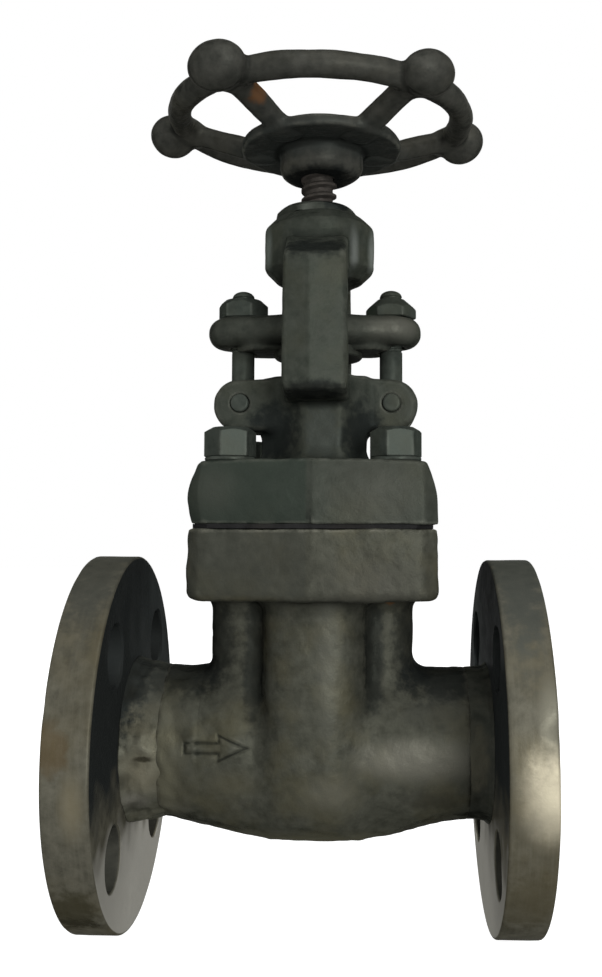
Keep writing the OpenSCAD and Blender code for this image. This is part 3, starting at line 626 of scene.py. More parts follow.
# The run, a neck that is a rounded rectangle with a boss down its front and back, and a ridged square
# flange, joined by rounded blends; then the arrow's groove, the bore, the chamber and the bolt holes.
def bodyField(x, y, z):
    s = bodyShape
    x = x - axisX
    bottom, top, flangeLow = bodyLow[2], bodyHigh[2], s["flangeLow"]
    pipe = np.hypot(y, z)
    neck = rectangle(x - s["lobeShift"], y, s["lobeHalf"], s["lobeDepth"], s["lobeCorner"])
    shape = softMin(runField(x, y, z, s), slab(neck, z, 0, flangeLow + 2, 1), s["lobeJoin"])
    boss = slab(rectangle(x, y, s["bossHalf"], s["bossDepth"], s["bossCorner"]), z, bottom, flangeLow + 2, 1)
    boss = softMax(boss, np.where(z < 0, pipe, np.abs(y) + 0 * z) + bottom + s["bossIn"], s["bossToe"])
    shape = softMin(shape, boss, s["bossJoin"])
    half = s["flangeHalf"] - s["lean"] * np.clip((z - flangeLow) / (top - flangeLow), 0, 1)
    flange = squareOutline(x, y, half, s["ridge"], s["corner"], s["cornerR"])
    flange = softMax(softMax(flange, flangeLow - z, s["lowerR"]), z - top, s["upperR"])
    shape = softMax(softMin(shape, flange, s["flangeJoin"]), z - top, 0.5)
    groove = np.exp(-(np.abs(arrowLine(x, z, s)) / s["arrowLine"]) ** 2)
    shape = shape + s["arrowDeep"] * groove * (y < -10) * (x < -14)  # on the left half of the front only
    shape = cutAway(shape, pipe - s["boreR"], 0.4)
    shape = cutAway(shape, slab(pipe - s["seatR"], x, -s["seatBack"], s["seatBack"], 0.3))
    shape = cutAway(shape, slab(np.hypot(x, y) - s["chamberR"], z, s["chamberLow"], top + past, 0.3), 0.5)
    bolts = np.hypot(np.abs(x) - s["boltAt"], np.abs(y) - s["boltAt"]) - s["boltR"]
    return cutAway(shape, slab(bolts, z, top - s["boltDeep"], top + past, 0.3))


def forgedTexture(seed, coarse, fine):  # uneven forging: the sum of broad swells and small hammer marks
    swell, mark = ripple(seed, 16), ripple(seed + 1, 4.2)
    return lambda p: coarse * swell(p) + fine * np.minimum(mark(p), 0.9)


plainForging, spatter = forgedTexture(11, bodyShape["swell"], bodyShape["mark"]), ripple(61, 6)


def bodyTexture(p):  # the forging, with lumps of spatter that fade out away from the inlet weld
    near = np.exp(-((p[:, 0] - axisX - bodyShape["spatterAt"]) / bodyShape["spatterWide"]) ** 2)
    return plainForging(p) + bodyShape["spatter"] * near * spatter(p)


arrowBox = (axisX + bodyShape["arrowTail"] - 1.6, -22, -3), (axisX + bodyShape["arrowTip"] + 1.2, -15, 5.6)
body = fieldMesh("forged_body", bodyField, bodyLow, bodyHigh, bodyShape["step"], bodyTexture,
                 fine=(*arrowBox, bodyShape["arrowCuts"]))
standFor(body, forged, "body")


bonnetShape = {
    "step": 0.55, "half": 30.9, "halfRight": 0.15, "ridge": 2.4, "corner": 2.2, "top": 73.7, "roof": 0.001,
    "slopeW": 3.0, "slopeH": 7.8, "bulgeZ": 65.0, "bulge": 0.9, "bulgeRight": 0.15, "flangeJoin": 4.5,
    "boltAt": 21.0, "padLow": 62, "padTop": 73.1, "padR": 7.6, "padJoin": 1.6, "boltHoleR": 3.5, "boltHoleTop": 80,
    "neckR": 13.9, "neckWide": 14.3, "neckCut": 13.4, "neckTop": 97.0, "neckShift": (-1.05, 1.75),
    "lugX": 20.3, "lugLeft": 0.3, "lugIn": 8, "eyeShift": 0.4, "lugZ": 90.2, "lugDrop": 0.5, "lugR": (7.6, 7.0),
    "lugHalf": 7.0, "lugEdge": 1.8, "lugJoin": 2.4, "slotHalf": 3.4, "slotIn": 14.8, "slotDeep": 10,
    "pinR": 2.45, "pinHalf": 12,
    "armHalf": 8.25, "armShift": 0.35, "armOut": 28.2, "armT": 9.2, "armLow": 89.8, "armHigh": 125.4, "armRidge": 1.5,
    "armTaper": 0.012, "armTaperZ": 105, "armTaperOver": 20, "armEdge": 1.7, "footEdge": 2.6, "footIn": 3.6,
    "shoulder": (0.52, 0.854), "shoulderEdge": 1.2, "bridgeJoin": 6, "headJoin": 1.6, "armJoin": 2.2,
    "headLow": 124.0, "headR": 15.0, "headShift": 0.25, "headTop": 141.7, "headSlope": 3.4,
    "stemHole": 5.25, "boxLow": 79.0, "boxR": 8.2, "boxHigh": 110, "nutHole": 7.55, "nutHoleZ": (120, 150)}


def bonnetFlange(x, y, z, s):  # a square with its sides bulging as a square of the height, and its top sloping off
    bend = ((z - s["bulgeZ"]) / (s["bulgeZ"] - bonnetLow[2])) ** 2
    bend = bend * np.where(z < s["bulgeZ"], np.where(x < 0, 1, s["bulgeRight"]), 1)
    half = s["half"] - s["bulge"] * bend + s["halfRight"] * (x > 0)
    flange = squareOutline(x, y, half, s["ridge"], s["corner"], 0.5)
    ramp = (np.abs(x) - s["half"] + s["slopeW"]) * s["slopeH"] + (z - s["top"]) * s["slopeW"]
    flange = softMax(flange, ramp / math.hypot(s["slopeH"], s["slopeW"]), 1)
    flange = softMax(flange, z - s["top"] + s["roof"] * x * x, 0.9)
    flange = softMax(flange, bonnetLow[2] - z, 0.5)
    pad = np.hypot(np.abs(x) - s["boltAt"], np.abs(y) - s["boltAt"]) - s["padR"]
    return softMin(flange, slab(pad, z, s["padLow"], s["padTop"], 0.6), s["padJoin"])


def bonnetNeck(x, y, z, s):  # an eight-sided bar, with a tapering bar out to each side that a slot parts in two
    ay = np.abs(y)
    wide, cut = (np.abs(x - shift) for shift in s["neckShift"])
    sides = softMax(wide - s["neckWide"], ay - s["neckR"], 0.8)
    neck = softMax(sides, (cut + ay) / math.sqrt(2) - s["neckCut"], 0.8)
    neck = slab(neck, z, bonnetLow[2] + 5, s["neckTop"], 0.6)
    out = s["lugX"] + s["lugLeft"] * (x < 0)
    lug = stretch(np.abs(x + s["eyeShift"]), z, s["lugIn"], s["lugZ"], out, s["lugZ"] - s["lugDrop"], *s["lugR"])
    lug = slab(lug, y, -s["lugHalf"], s["lugHalf"], s["lugEdge"])
    lug = softMax(lug, z - s["neckTop"], 0.8)
    slot = np.maximum(np.maximum(ay - s["slotHalf"], s["slotIn"] - np.abs(x)), s["lugZ"] - s["slotDeep"] - z)
    return softMin(neck, cutAway(lug, slot, 0.5), s["lugJoin"])


# Front and back arms: an upright bar with a ridge down its outside, a foot that turns back to the neck,
# and a sloped shoulder that runs up to the head.
def yokeArms(x, y, z, s):
    v = np.abs(y)
    inner = s["armOut"] - s["armT"]
    outer = s["armOut"] - s["armRidge"] * np.abs(x + 1) / s["armHalf"]
    wall = softMax(v - outer, inner - v, 1)
    wall = softMax(wall, s["armLow"] + 1.5 - z, 2.5)
    shoulder = (v - s["armOut"]) * s["shoulder"][0] + (z - s["armHigh"]) * s["shoulder"][1]
    wall = softMax(wall, shoulder, s["shoulderEdge"])
    foot = slab(v - outer + 0.2, z, s["armLow"], s["neckTop"], s["footEdge"])
    foot = softMax(foot, (v - outer + s["footIn"] + s["armLow"] - z) / math.sqrt(2), s["footEdge"])
    bridge = softMax(softMax(s["headLow"] - z, shoulder, s["shoulderEdge"]), v - outer, 1.2)
    profile = softMin(softMin(wall, foot, 2), bridge, s["bridgeJoin"])
    profile = softMax(softMax(profile, v - outer, 1), shoulder, s["shoulderEdge"])
    taper = s["armTaper"] * np.clip(z - s["armTaperZ"], 0, s["armTaperOver"])
    return softMax(profile, np.abs(x - s["armShift"]) - s["armHalf"] + taper, s["armEdge"])


def yokeHead(x, y, z, s):  # a round bar with both its edges chamfered
    rim = np.hypot(x - s["headShift"], y) - s["headR"]
    head = softMax(rim, s["headLow"] - z, 0.5)
    head = softMax(head, (rim + s["headSlope"] + s["headLow"] - z) / math.sqrt(2), 0.6)
    head = softMax(head, (rim + s["headSlope"] + z - s["headTop"]) / math.sqrt(2), 0.6)
    return softMax(head, z - s["headTop"], 0.6)


def bonnetField(x, y, z):  # the lot joined by rounded blends, then bored for stem, packing, nut, bolts and pins
    s = bonnetShape
    x = x - axisX
    around = np.hypot(x, y)
    shape = softMin(bonnetFlange(x, y, z, s), bonnetNeck(x, y, z, s), s["flangeJoin"])
    top = softMin(yokeArms(x, y, z, s), yokeHead(x, y, z, s), s["headJoin"])
    shape = softMin(shape, top, s["armJoin"])
    shape = cutAway(shape, around - s["stemHole"])
    shape = cutAway(shape, slab(around - s["boxR"], z, s["boxLow"], s["boxHigh"], 0.3))
    shape = cutAway(shape, slab(around - s["nutHole"], z, *s["nutHoleZ"], 0.3))
    bolt = np.hypot(np.abs(x) - s["boltAt"], np.abs(y) - s["boltAt"]) - s["boltHoleR"]
    shape = cutAway(shape, softMax(bolt, z - s["boltHoleTop"], 0.3))
    pin = np.hypot(np.abs(x + s["eyeShift"]) - s["lugX"], z - s["lugZ"]) - s["pinR"]
    return cutAway(shape, np.maximum(pin, np.abs(y) - s["pinHalf"]))


bonnet = fieldMesh("forged_bonnet", bonnetField, bonnetLow, bonnetHigh, bonnetShape["step"],
                   forgedTexture(21, 0.07, 0.03))
standFor(bonnet, bonnetSkin, "bonnet")


# The radius is given from the flange to the toe. over is how far the toe laps over the run's end.
weldShape = {
    "inlet": {"flip": False, "seed": 5, "radius": (21.8, 21.0, 20.6, 20.3, 20.0, 19.7, 19.4), "lump": 0.3,
              "size": 9, "over": 1.4},
    "outlet": {"flip": True, "seed": 8, "radius": (20.9, 20.1, 19.9, 19.8, 19.75, 19.7, 19.5), "lump": 0.07,
               "size": 6, "over": 0.8},
    "rows": 40, "around": 360, "innerR": 16.6, "lumpsAtR": 20, "fade": 2.2, "wander": 0.35}


# A closed ring whose outside is a bead: the profile's radius plus two sizes of lumps, which fade out
# towards the toe, and a toe that wanders along the axis.
def weldBead(end, material):
    s, ring = weldShape[end], weldShape
    low, high = span(f"{end}_weld")
    length = high[0] - low[0]
    across = column(np.linspace(0, 1, ring["rows"]))
    angle = roundAngles(ring["around"])[None, :]
    base = np.interp(across[:, 0], np.linspace(0, 1, len(s["radius"])), s["radius"])[:, None]
    mid = ring["lumpsAtR"]
    place = np.stack([length * across + 0 * angle, mid * np.cos(angle) + 0 * across,
                      mid * np.sin(angle) + 0 * across], -1)
    lumps = ripple(s["seed"], s["size"])(place) + 0.25 * ripple(s["seed"] + 1, 0.45 * s["size"])(place)
    toe = ripple(s["seed"] + 2, 6)(place[-1:] * np.array([0, 1, 1]))
    fade = np.minimum(1, ring["fade"] * (1 - across))
    radius = np.concatenate([base + fade * s["lump"] * lumps, column([ring["innerR"]] * 2) + 0 * angle])
    along = (length + s["over"] + ring["wander"] * toe * across ** 4) * across
    along = np.concatenate([along + 0 * angle, column([length, 0]) + 0 * angle])
    x = high[0] - along if s["flip"] else low[0] + along
    points = np.stack([x, radius * np.cos(angle), radius * np.sin(angle)], -1)
    wear = np.concatenate([0.2 + 0.3 * lumps * fade, np.zeros((2, ring["around"]))])
    if s["flip"]:
        points, wear = points[::-1], wear[::-1]
    standFor(ringMesh(f"{end}_weld_bead", points, closed=True, wear=wear), material, f"{end}_weld")


weldBead("inlet", weldMetal)
weldBead("outlet", paintedShadeWeld)
print("welds ready")


# A dent is a place on the flange before it is turned round, how wide it is, and how deep.
flangeShape = {
    "boreR": 9, "faceR": 21.5, "faceH": 1.6, "rimR": 49, "thick": 11.4, "stubR": 16.5, "edge": 0.7, "around": 240,
    "holeAt": 34.95, "holeR": 7.95, "holeEdge": 0.5, "holeAround": 64, "cutPast": 3,
    "swell": 0.05, "swellSize": 14, "swirlSize": 9, "least": -0.01, "sharp": 32,
    "skinFrom": 17.5, "skinOver": 3, "backTo": 47, "rimFrom": 47.5, "shareFrom": 40, "shareOver": 9,
    "wearFrom": 48.1, "wearOver": 0.9, "wear": 0.35,
    # the shade layer's painted shade and light: by height on the back face, and on the upper and lower holes' walls
    "shadeAt": (-34, -24, -14, -2), "shadeIs": (-1, -0.8, 0.1, 1), "upperWall": 1, "lowerWall": 0.55,
    "inlet": {"flip": False, "seed": 31, "share": 1.0, "dents": [((3, -46, 15), 3.0, 0.5)]},
    "outlet": {"flip": True, "seed": 37, "share": 0.988, "dents": [
        ((2, -48.5, 6), 4.5, 0.8), ((1, -48, 12), 2.5, 0.9), ((2.5, -48.9, -1), 3.5, 0.5)]}}
holeTurns = [math.pi / 4 + k * math.pi / 2 for k in range(4)]
holePlaces = [(flangeShape["holeAt"] * math.cos(a), flangeShape["holeAt"] * math.sin(a)) for a in holeTurns]


def flangeProfile(s, stub):  # along the face, round the rim and back to the stub: distances from the face, and radii
    t = s["faceH"] + s["thick"]
    e = s["edge"]
    bend = np.linspace(0, math.pi / 2, 5)
    x = [0, 0, 0.3, s["faceH"], s["faceH"]] + list(s["faceH"] + e - e * np.cos(bend))
    r = [s["boreR"], s["faceR"] - 0.3, s["faceR"], s["faceR"] + 0.2, 30] + list(s["rimR"] - e + e * np.sin(bend))
    x += list(np.linspace(s["faceH"] + e, t - e, 14)[1:-1]) + list(t - e + e * np.sin(bend))
    r += [s["rimR"]] * 12 + list(s["rimR"] - e + e * np.cos(bend))
    x += [t] * 26 + [t + 0.5, t + stub, t + stub]
    r += list(np.linspace(s["rimR"] - e, s["stubR"] + 0.6, 28)[1:-1]) + [s["stubR"], s["stubR"], s["boreR"]]
    return np.array(x), np.array(r)


# Moves the rim's points along their radius by a swell less the dents, each a bell of its distance, and
# the back's points along the axis. The part outside the bolt circle is scaled to its share of the size.
def ageFlange(points, s, end):
    flat = points.reshape(-1, 3)
    out = np.hypot(flat[:, 1], flat[:, 2])
    skinOnly = np.clip((out - s["skinFrom"]) / s["skinOver"], 0, 1) * (flat[:, 0] > s["faceH"] - 0.1)
    swell = ripple(end["seed"], s["swellSize"])(flat) * s["swell"]
    radial = flat[:, 1:] / np.maximum(out, 1)[:, None]
    push = swell * np.clip(out - s["rimFrom"], 0, 1)
    for at, size, deep in end["dents"]:
        away = np.linalg.norm(flat - np.array(at), axis=1)
        push = push - deep * np.exp(-(away / size) ** 2)
    push = np.minimum(push, s["least"])  # the rim stays inside its box
    over = s["shareOver"]
    scaled = (end["share"] - 1) * np.clip(out - s["shareFrom"], 0, over) / over * out
    flat[:, 1:] += radial * (push * skinOnly + scaled)[:, None]
    flat[:, 0] += swell * (out < s["backTo"]) * skinOnly * (flat[:, 0] > s["faceH"] + 1)


def laid(points, far, flip):  # rings turned end for end, from the far face, where flip is true
    if flip:
        points[..., 0] = far - points[..., 0]
        return points[::-1]
    return points


# Cuts the four bolt holes: each cutter is a turned profile, wide outside the faces and chamfered at the back.
def cutHoles(piece, s, far, flip):
    c, e, p = s["holeR"], s["holeEdge"], s["cutPast"]
    h, t = s["faceH"], s["faceH"] + s["thick"]
    along = [-p, -p, h, h + e, t - e, t + e, t + p, t + p]
    radius = [0, c + e, c + e, c, c, c + 2 * e, c + 2 * e, 0]
    cutters = []
    for k, (y, z) in enumerate(holePlaces):
        ring = turned(column(radius), column(along), s["holeAround"], (0, y, z), "x")
        cutters.append(ringMesh(f"{piece.name}_cut_{k}", laid(ring, far, flip)))
        cut = piece.modifiers.new("hole", "BOOLEAN")
        cut.operation, cut.object, cut.solver = "DIFFERENCE", cutters[-1], "EXACT"
    bpy.context.view_layer.update()
    whole = bpy.data.meshes.new_from_object(piece.evaluated_get(bpy.context.evaluated_depsgraph_get()))
    piece.modifiers.clear()
    piece.data = whole
    for cutter in cutters:
        bpy.data.objects.remove(cutter)


# The wear rises at the rim. The shade layer on the back face goes from painted light at the foot to painted shade
# at the top, along a wavy line, and the walls of the upper and the lower holes have a painted shade each.
def shadeFlange(piece, s, end, low, high):
    place = pointsOf(piece.data)
    out = np.hypot(place[:, 1], place[:, 2])
    setLayer(piece, "wear", np.clip((out - s["wearFrom"]) / s["wearOver"], 0, 1) * s["wear"])
    deep = high[0] - place[:, 0] if end["flip"] else place[:, 0] - low[0]
    face = (np.abs(deep - s["faceH"] - s["thick"]) < 0.3) & (out < s["rimR"] * end["share"] - s["edge"] + 0.05)
    wavy = place[:, 2] + 2 * ripple(end["seed"] + 3, s["swirlSize"])(place)
    shade = face * np.interp(wavy, s["shadeAt"], s["shadeIs"])
    for y, z in holePlaces:
        away = np.hypot(place[:, 1] - y, place[:, 2] - z)
        shade = np.where(away < s["holeR"] + 0.2, s["upperWall"] if z > 0 else s["lowerWall"], shade)
    setLayer(piece, "shade", shade)


def endFlange(end, node):  # a turned profile, with its unevenness, laid between its faces, drilled and shaded
    s, own = flangeShape, flangeShape[end]
    low, high = span(node)
    x, r = flangeProfile(s, high[0] - low[0] - s["faceH"] - s["thick"])
    points = turned(column(r), column(x), s["around"], axis="x")
    ageFlange(points, s, own)
    piece = ringMesh(f"{end}_end_flange", laid(points, high[0], own["flip"]), closed=True)
    cutHoles(piece, s, high[0], own["flip"])
    shadeFlange(piece, s, own, low, high)
    piece.data.shade_smooth()
    piece.data.set_sharp_from_angle(angle=math.radians(s["sharp"]))
    standFor(piece, flangeSteel, node)


endFlange("inlet", "inlet_flange")
endFlange("outlet", "outlet_flange")
print("flanges ready")


# The distance from the axis to a hexagon's side is half the flats over the greatest cosine to a side's
# normal; a mean of a high power of the cosines in its place rounds the corners.
def hexRadius(angle, flats, turn, power=70):
    faces = math.pi / 6 + turn + math.pi / 3 * np.arange(6)
    lean = np.maximum(np.cos(angle[:, None] - faces[None, :]), 1e-3)
    return flats / 2 / (lean ** power).sum(1) ** (1 / power)


# A hexagon from low to high: each side's distance, cut by a cone that leaves a round top of radius topR.
# It has a bore right through, or a closed top that rises by its crown as a parabola.
def hexPiece(name, centre, low, high, flats, turn, topR, slope, bore=0.0, crown=0.0):
    around = 144
    side = hexRadius(roundAngles(around), flats, turn)
    fall = math.tan(math.radians(slope))
    deep = (flats / math.sqrt(3) - topR) * fall + 0.1
    zs = np.concatenate([[low, low + 0.25], high - deep + deep * np.linspace(0, 1, 12)])
    radius = np.minimum(side[None, :], topR + (high - zs)[:, None] / fall)
    radius[0] -= 0.25
    if bore:
        ends = np.repeat(column([bore + 0.4, bore, bore, bore + 0.4]), around, 1)
        rows, heights = [radius, ends], [zs, [high, high - 0.4, low + 0.4, low]]
    else:
        ring = column(np.linspace(0.85, 0, 6))
        zero = np.zeros((1, around))
        rows, heights = [zero, radius, ring * topR + zero], [[low], zs, high + crown * (1 - ring[:, 0] ** 2)]
    radius = np.concatenate(rows)
    points = turned(radius, column(np.concatenate(heights)), around, (centre[0], centre[1], 0))
    wear = np.clip((radius - flats / 2 * 1.07) / (flats * 0.04), 0, 1)
    return ringMesh(name, points, closed=bool(bore), sharp=24, wear=wear)


def washerRing(name, centre, low, high, holeR, outR, edge):  # a flat ring with both its outer edges chamfered
    radius = [holeR, outR - edge, outR, outR, outR - edge, holeR]
    height = [low, low, low + edge, high - edge, high, high]
    ring = turned(column(radius), column(height), 72, centre)
    return ringMesh(name, ring, closed=True, sharp=30, wear=column([0, 0.5, 0.6, 0.6, 0.5, 0]))


# A threaded rod: the radius falls by a trapezoid wave of height less pitch times the turn.
def threadRadius(heights, around, outR, deep, pitch, low, high):
    phase = (heights - pitch * roundAngles(around)[None, :] / (2 * math.pi)) / pitch
    wave = np.abs(2 * (phase - np.floor(phase)) - 1)
    cut = np.clip((wave - 0.22) / 0.42, 0, 1)
    fade = np.clip((heights - low) / (0.7 * pitch), 0, 1) * np.clip((high - heights) / (0.4 * pitch), 0, 1)
    return outR - deep * cut * fade, 0.5 * (1 - cut) * fade


def onAllSides(values, around):  # a profile's values, the same all the way round
    return np.repeat(column(values), around, 1)


stemShape = {"waistLow": 14.5, "headT": 4.0, "headR": 6.0, "waistR": 3.5, "shaftLow": 24.0, "shaftR": 4.9,
             "collarLow": 30.6, "collarT": 3.0, "collarR": 7.1, "threadLow": 107.0, "pitch": 3.0, "deep": 1.05,
             "hubLow": 154.0, "spigotR": 4.0, "edge": 0.4, "around": 96, "shaftRows": 20, "threadRows": 420}


def makeStem():  # a turned profile of heights and radii: head, waist, shaft, collar, shaft, thread and spigot
    s = stemShape
    around, top, e = s["around"], stemHigh[2], s["edge"]
    headLow, headHigh = s["waistLow"], s["waistLow"] + s["headT"]
    collarLow, collarHigh = s["collarLow"], s["collarLow"] + s["collarT"]
    plain = [(headLow, 0), (headLow, s["headR"] - e), (headLow + e, s["headR"]), (headHigh - e, s["headR"]),
             (headHigh, s["headR"] - e), (headHigh, s["waistR"]), (s["shaftLow"], s["waistR"]),
             (s["shaftLow"], s["shaftR"]), (collarLow, s["shaftR"]), (collarLow, s["collarR"] - e),
             (collarLow + e, s["collarR"]), (collarHigh - e, s["collarR"]), (collarHigh, s["collarR"] - e),
             (collarHigh, s["shaftR"])]
    plain += [(z, s["shaftR"]) for z in np.linspace(collarHigh + 1, s["threadLow"], s["shaftRows"])]
    thread = np.linspace(s["threadLow"], s["hubLow"], s["threadRows"])[1:]
    cut, wear = threadRadius(thread[:, None], around, s["shaftR"], s["deep"], s["pitch"], s["threadLow"],
                             s["hubLow"] + 2)
    end = [(s["hubLow"], s["spigotR"]), (top - 0.6, s["spigotR"]), (top - 0.1, s["spigotR"] - 0.5),
           (top, s["spigotR"] - 0.9), (top, 0)]
    radius = np.concatenate([onAllSides([p[1] for p in plain], around), cut, onAllSides([p[1] for p in end], around)])
    heights = np.concatenate([[p[0] for p in plain], thread, [p[0] for p in end]])
    wear = np.concatenate([np.full((len(plain), around), 0.3), wear, np.full((len(end), around), 0.2)])
    points = turned(radius, column(heights), around, (axisX, 0, 0))
    return ringMesh("threaded_stem", points, sharp=35, wear=wear)


standFor(makeStem(), stemSteel, "stem")


yokeNutShape = {"sleeveR": 7.5, "bore": 4.98, "drop": 0.7, "turn": 0.12, "power": 50, "roundR": 0.985,
                "depth": (0, 0.7, 2.0, 4.2, 5.8, 7.4, 9), "collarR": (6.6, 9.2, 11.0, 11.4, 11.9, 13.5, 16.5),
                "collarShift": -0.5, "shiftFrom": 9, "shiftOver": 3}


# A sleeve in the yoke's head under a hexagon, whose sides are cut by a turned profile of radii at depths
# below the top. The part above shiftFrom below the top is moved a little to the left.
def makeYokeNut():
    s = yokeNutShape
    low, high = span("yoke_nut")
    around = 144
    headTop, top = bonnetHigh[2], high[2] - s["drop"]
    corners = high[0] - low[0]
    side = hexRadius(roundAngles(around), corners * math.cos(math.pi / 6), s["turn"], s["power"])
    side = np.minimum(side, corners / 2 * s["roundR"])
    zs = np.linspace(headTop, top, 24)
    hexagon = np.minimum(side[None, :], np.interp(top - zs, s["depth"], s["collarR"])[:, None])
    radius = np.concatenate([onAllSides([s["sleeveR"]] * 2, around), hexagon,
                             onAllSides([s["bore"] + 0.5, s["bore"], s["bore"]], around)])
    heights = np.concatenate([[low[2], headTop], zs, [top, top - 0.5, low[2]]])
    points = turned(radius, column(heights), around, (axisX, 0, 0))
    shifted = np.clip((points[..., 2] - top + s["shiftFrom"]) / s["shiftOver"], 0, 1)
    points[..., 0] += s["collarShift"] * shifted * (radius > s["bore"] + 1)
    wear = np.clip((radius - corners / 2 * 0.92) / 1.2, 0, 1) * 0.5
    return ringMesh("domed_yoke_nut", points, closed=True, sharp=30, wear=wear)


standFor(makeYokeNut(), yokeNutSteel, "yoke_nut")
print("stem and yoke nut ready")


boltShape = {"drop": 0.5, "shift": -0.25, "flats": 11.6, "turns": (0.27, 0.17, -0.1, 0.05), "topR": 4.5,
             "slope": 30, "crown": 0.25, "shankR": 3.15, "shankEndR": 2.6, "intoHead": 0.4,
             "washerHole": 3.5, "washerEdge": 0.25}


def makeBolt(number):  # a hexagon head on a turned shank, and its washer, let down a little from the CAD's place
    s = boltShape
    low, high = span(f"bonnet_bolt_{number}")
    washLow, washHigh = span(f"bonnet_washer_{number}")
    middle = (low + high) / 2 + np.array([s["shift"], 0, 0])
    centre = (middle[0], middle[1], 0)
    seatZ, washZ = washHigh[2] - s["drop"], washLow[2] - s["drop"]
    head = hexPiece(f"bolt_{number}", middle, seatZ, high[2] - s["drop"] - s["crown"], s["flats"],
                    s["turns"][number - 1], s["topR"], s["slope"], crown=s["crown"])
    shank = turned(column([0, s["shankEndR"], s["shankR"], s["shankR"], 0]),
                   column([low[2], low[2], low[2] + 0.6, seatZ + s["intoHead"], seatZ + s["intoHead"]]), 32, centre)
    joinTo(head, ringMesh(f"bolt_shank_{number}", shank, sharp=30, wear=np.zeros((5, 1))))
    standFor(head, boltSteel, f"bonnet_bolt_{number}")
    washer = washerRing(f"washer_{number}", centre, washZ, seatZ, s["washerHole"], (washHigh[0] - washLow[0]) / 2,
                        s["washerEdge"])
    standFor(washer, boltSteel, f"bonnet_washer_{number}")


for number in (1, 2, 3, 4):
    makeBolt(number)
print("bolts ready")


glandShape = {"endR": 8.8, "midR": 13.4, "midJoin": 9, "edge": 3.75, "step": 0.42, "offset": -1.0,
              "under": 1.5, "underIn": (6, 1.5), "stemHole": 5.6, "boltHole": 3.45}
eyeShape = {"shift": -0.4, "rodR": 3.1, "thread": 1.0, "threadDeep": 0.3, "threadRows": 130, "dome": 1.8,
            "eyeR": 5.15, "eyeHalf": 2.8, "rodIn": 2.5, "neckTop": 7, "pinHole": 2.45, "step": 0.4,
            "pinR": 2.42, "pinDrawn": 0.7, "pinDome": 0.4,
            "nutFlats": 12.0, "nutSlope": 42, "nutBore": 3.15,
            "left": {"nutTopR": 5.0, "nutTurn": -0.08}, "right": {"nutTopR": 3.8, "nutTurn": -0.05}}
glandLow, glandHigh = span("gland_flange")
eyeLow, eyeHigh = span("right_eyebolt")
reach = (eyeLow[0] + eyeHigh[0]) / 2 - axisX


# A plate whose outline is a bar between the two eyebolts joined to a round middle, with fully rounded
# edges, a smaller step under it, and holes for the stem and the eyebolts.
def glandField(x, y, z):
    s = glandShape
    u = x - axisX
    v = u - s["offset"]
    bar = stretch(v, y, -reach, 0, reach, 0, s["endR"], s["endR"])
    outline = softMin(bar, np.hypot(v, y) - s["midR"], s["midJoin"])
    plate = slab(outline, z, glandLow[2], glandHigh[2], s["edge"])
    shorter, narrower = s["underIn"]
    under = s["endR"] - narrower
    step = stretch(v, y, -reach + shorter, 0, reach - shorter, 0, under, under)
    plate = softMin(plate, slab(step, z, glandLow[2] - s["under"], glandHigh[2] - 3, 1), 1.5)
    plate = cutAway(plate, np.hypot(u, y) - s["stemHole"], 0.5)
    return cutAway(plate, np.hypot(np.abs(u - eyeShape["shift"]) - reach, y) - s["boltHole"], 0.5)


gland = fieldMesh("bullnose_gland_flange", glandField, glandLow - 2, glandHigh + 1, glandShape["step"],
                  forgedTexture(41, 0.05, 0.02))
standFor(gland, glandSteel, "gland_flange")


def makeEyebolt(side):  # a threaded rod with a domed end, and a flat eye with the pin's hole at its foot
    s = eyeShape
    low, high = span(f"{side}_eyebolt")
    x, pinZ = (low[0] + high[0]) / 2 + s["shift"], low[2] + (high[0] - low[0]) / 2
    around = 72
    threadLow, threadHigh, foot = glandLow[2] - 1.5, high[2] - s["dome"], pinZ + s["rodIn"]
    zs = np.concatenate([[foot, threadLow], np.linspace(threadLow, threadHigh, s["threadRows"])[1:]])
    radius, wear = threadRadius(zs[:, None], around, s["rodR"], s["threadDeep"], s["thread"], threadLow, high[2] + 1)
    cap = np.linspace(0, math.pi / 2, 8)
    radius = np.concatenate([np.zeros((1, around)), radius, onAllSides((s["rodR"] - 0.1) * np.cos(cap), around)])
    heights = np.concatenate([[foot], zs, threadHigh + s["dome"] * np.sin(cap)])
    wear = np.concatenate([np.zeros((1, around)), wear, np.full((len(cap), around), 0.1)])
    rod = ringMesh(f"{side}_rod", turned(radius, column(heights), around, (x, 0, 0)), sharp=40, wear=wear)

    def eyeField(px, py, pz):  # a round plate joined to a round bar, less the pin's hole
        away = np.hypot(px - x, pz - pinZ)
        eye = slab(away - s["eyeR"], py, -s["eyeHalf"], s["eyeHalf"], 0.7)
        neck = slab(np.hypot(px - x, py) - s["rodR"], pz, pinZ, pinZ + s["neckTop"], 0.3)
        return cutAway(softMin(eye, neck, 2), away - s["pinHole"])

    eye = fieldMesh(f"{side}_swing_eyebolt", eyeField, (x - 5.3, -3.2, pinZ - 5.3), (x + 5.3, 3.2, pinZ + 7.2),
                    s["step"])
    joinTo(eye, rod)
    standFor(eye, boltSteel, f"{side}_eyebolt")
    return x, pinZ


def makePin(side, x, pinZ):  # a round bar across, each end drawn in by a quarter of an ellipse
    s = eyeShape
    high = span(f"{side}_eyebolt_pin")[1]
    cap = np.linspace(0, math.pi / 2, 6)
    radius = s["pinR"] - s["pinDrawn"] + s["pinDrawn"] * np.sin(cap)
    rise = high[1] - s["pinDome"] + s["pinDome"] * np.cos(cap)
    radius = np.concatenate([[0], radius, radius[::-1], [0]])
    along = np.concatenate([[-rise[0]], -rise, rise[::-1], [rise[0]]])
    points = turned(column(radius), column(along), 48, (x, 0, pinZ), "-y")
    standFor(ringMesh(f"{side}_pin", points, sharp=35, wear=np.full((len(radius), 1), 0.4)), boltSteel,
             f"{side}_eyebolt_pin")


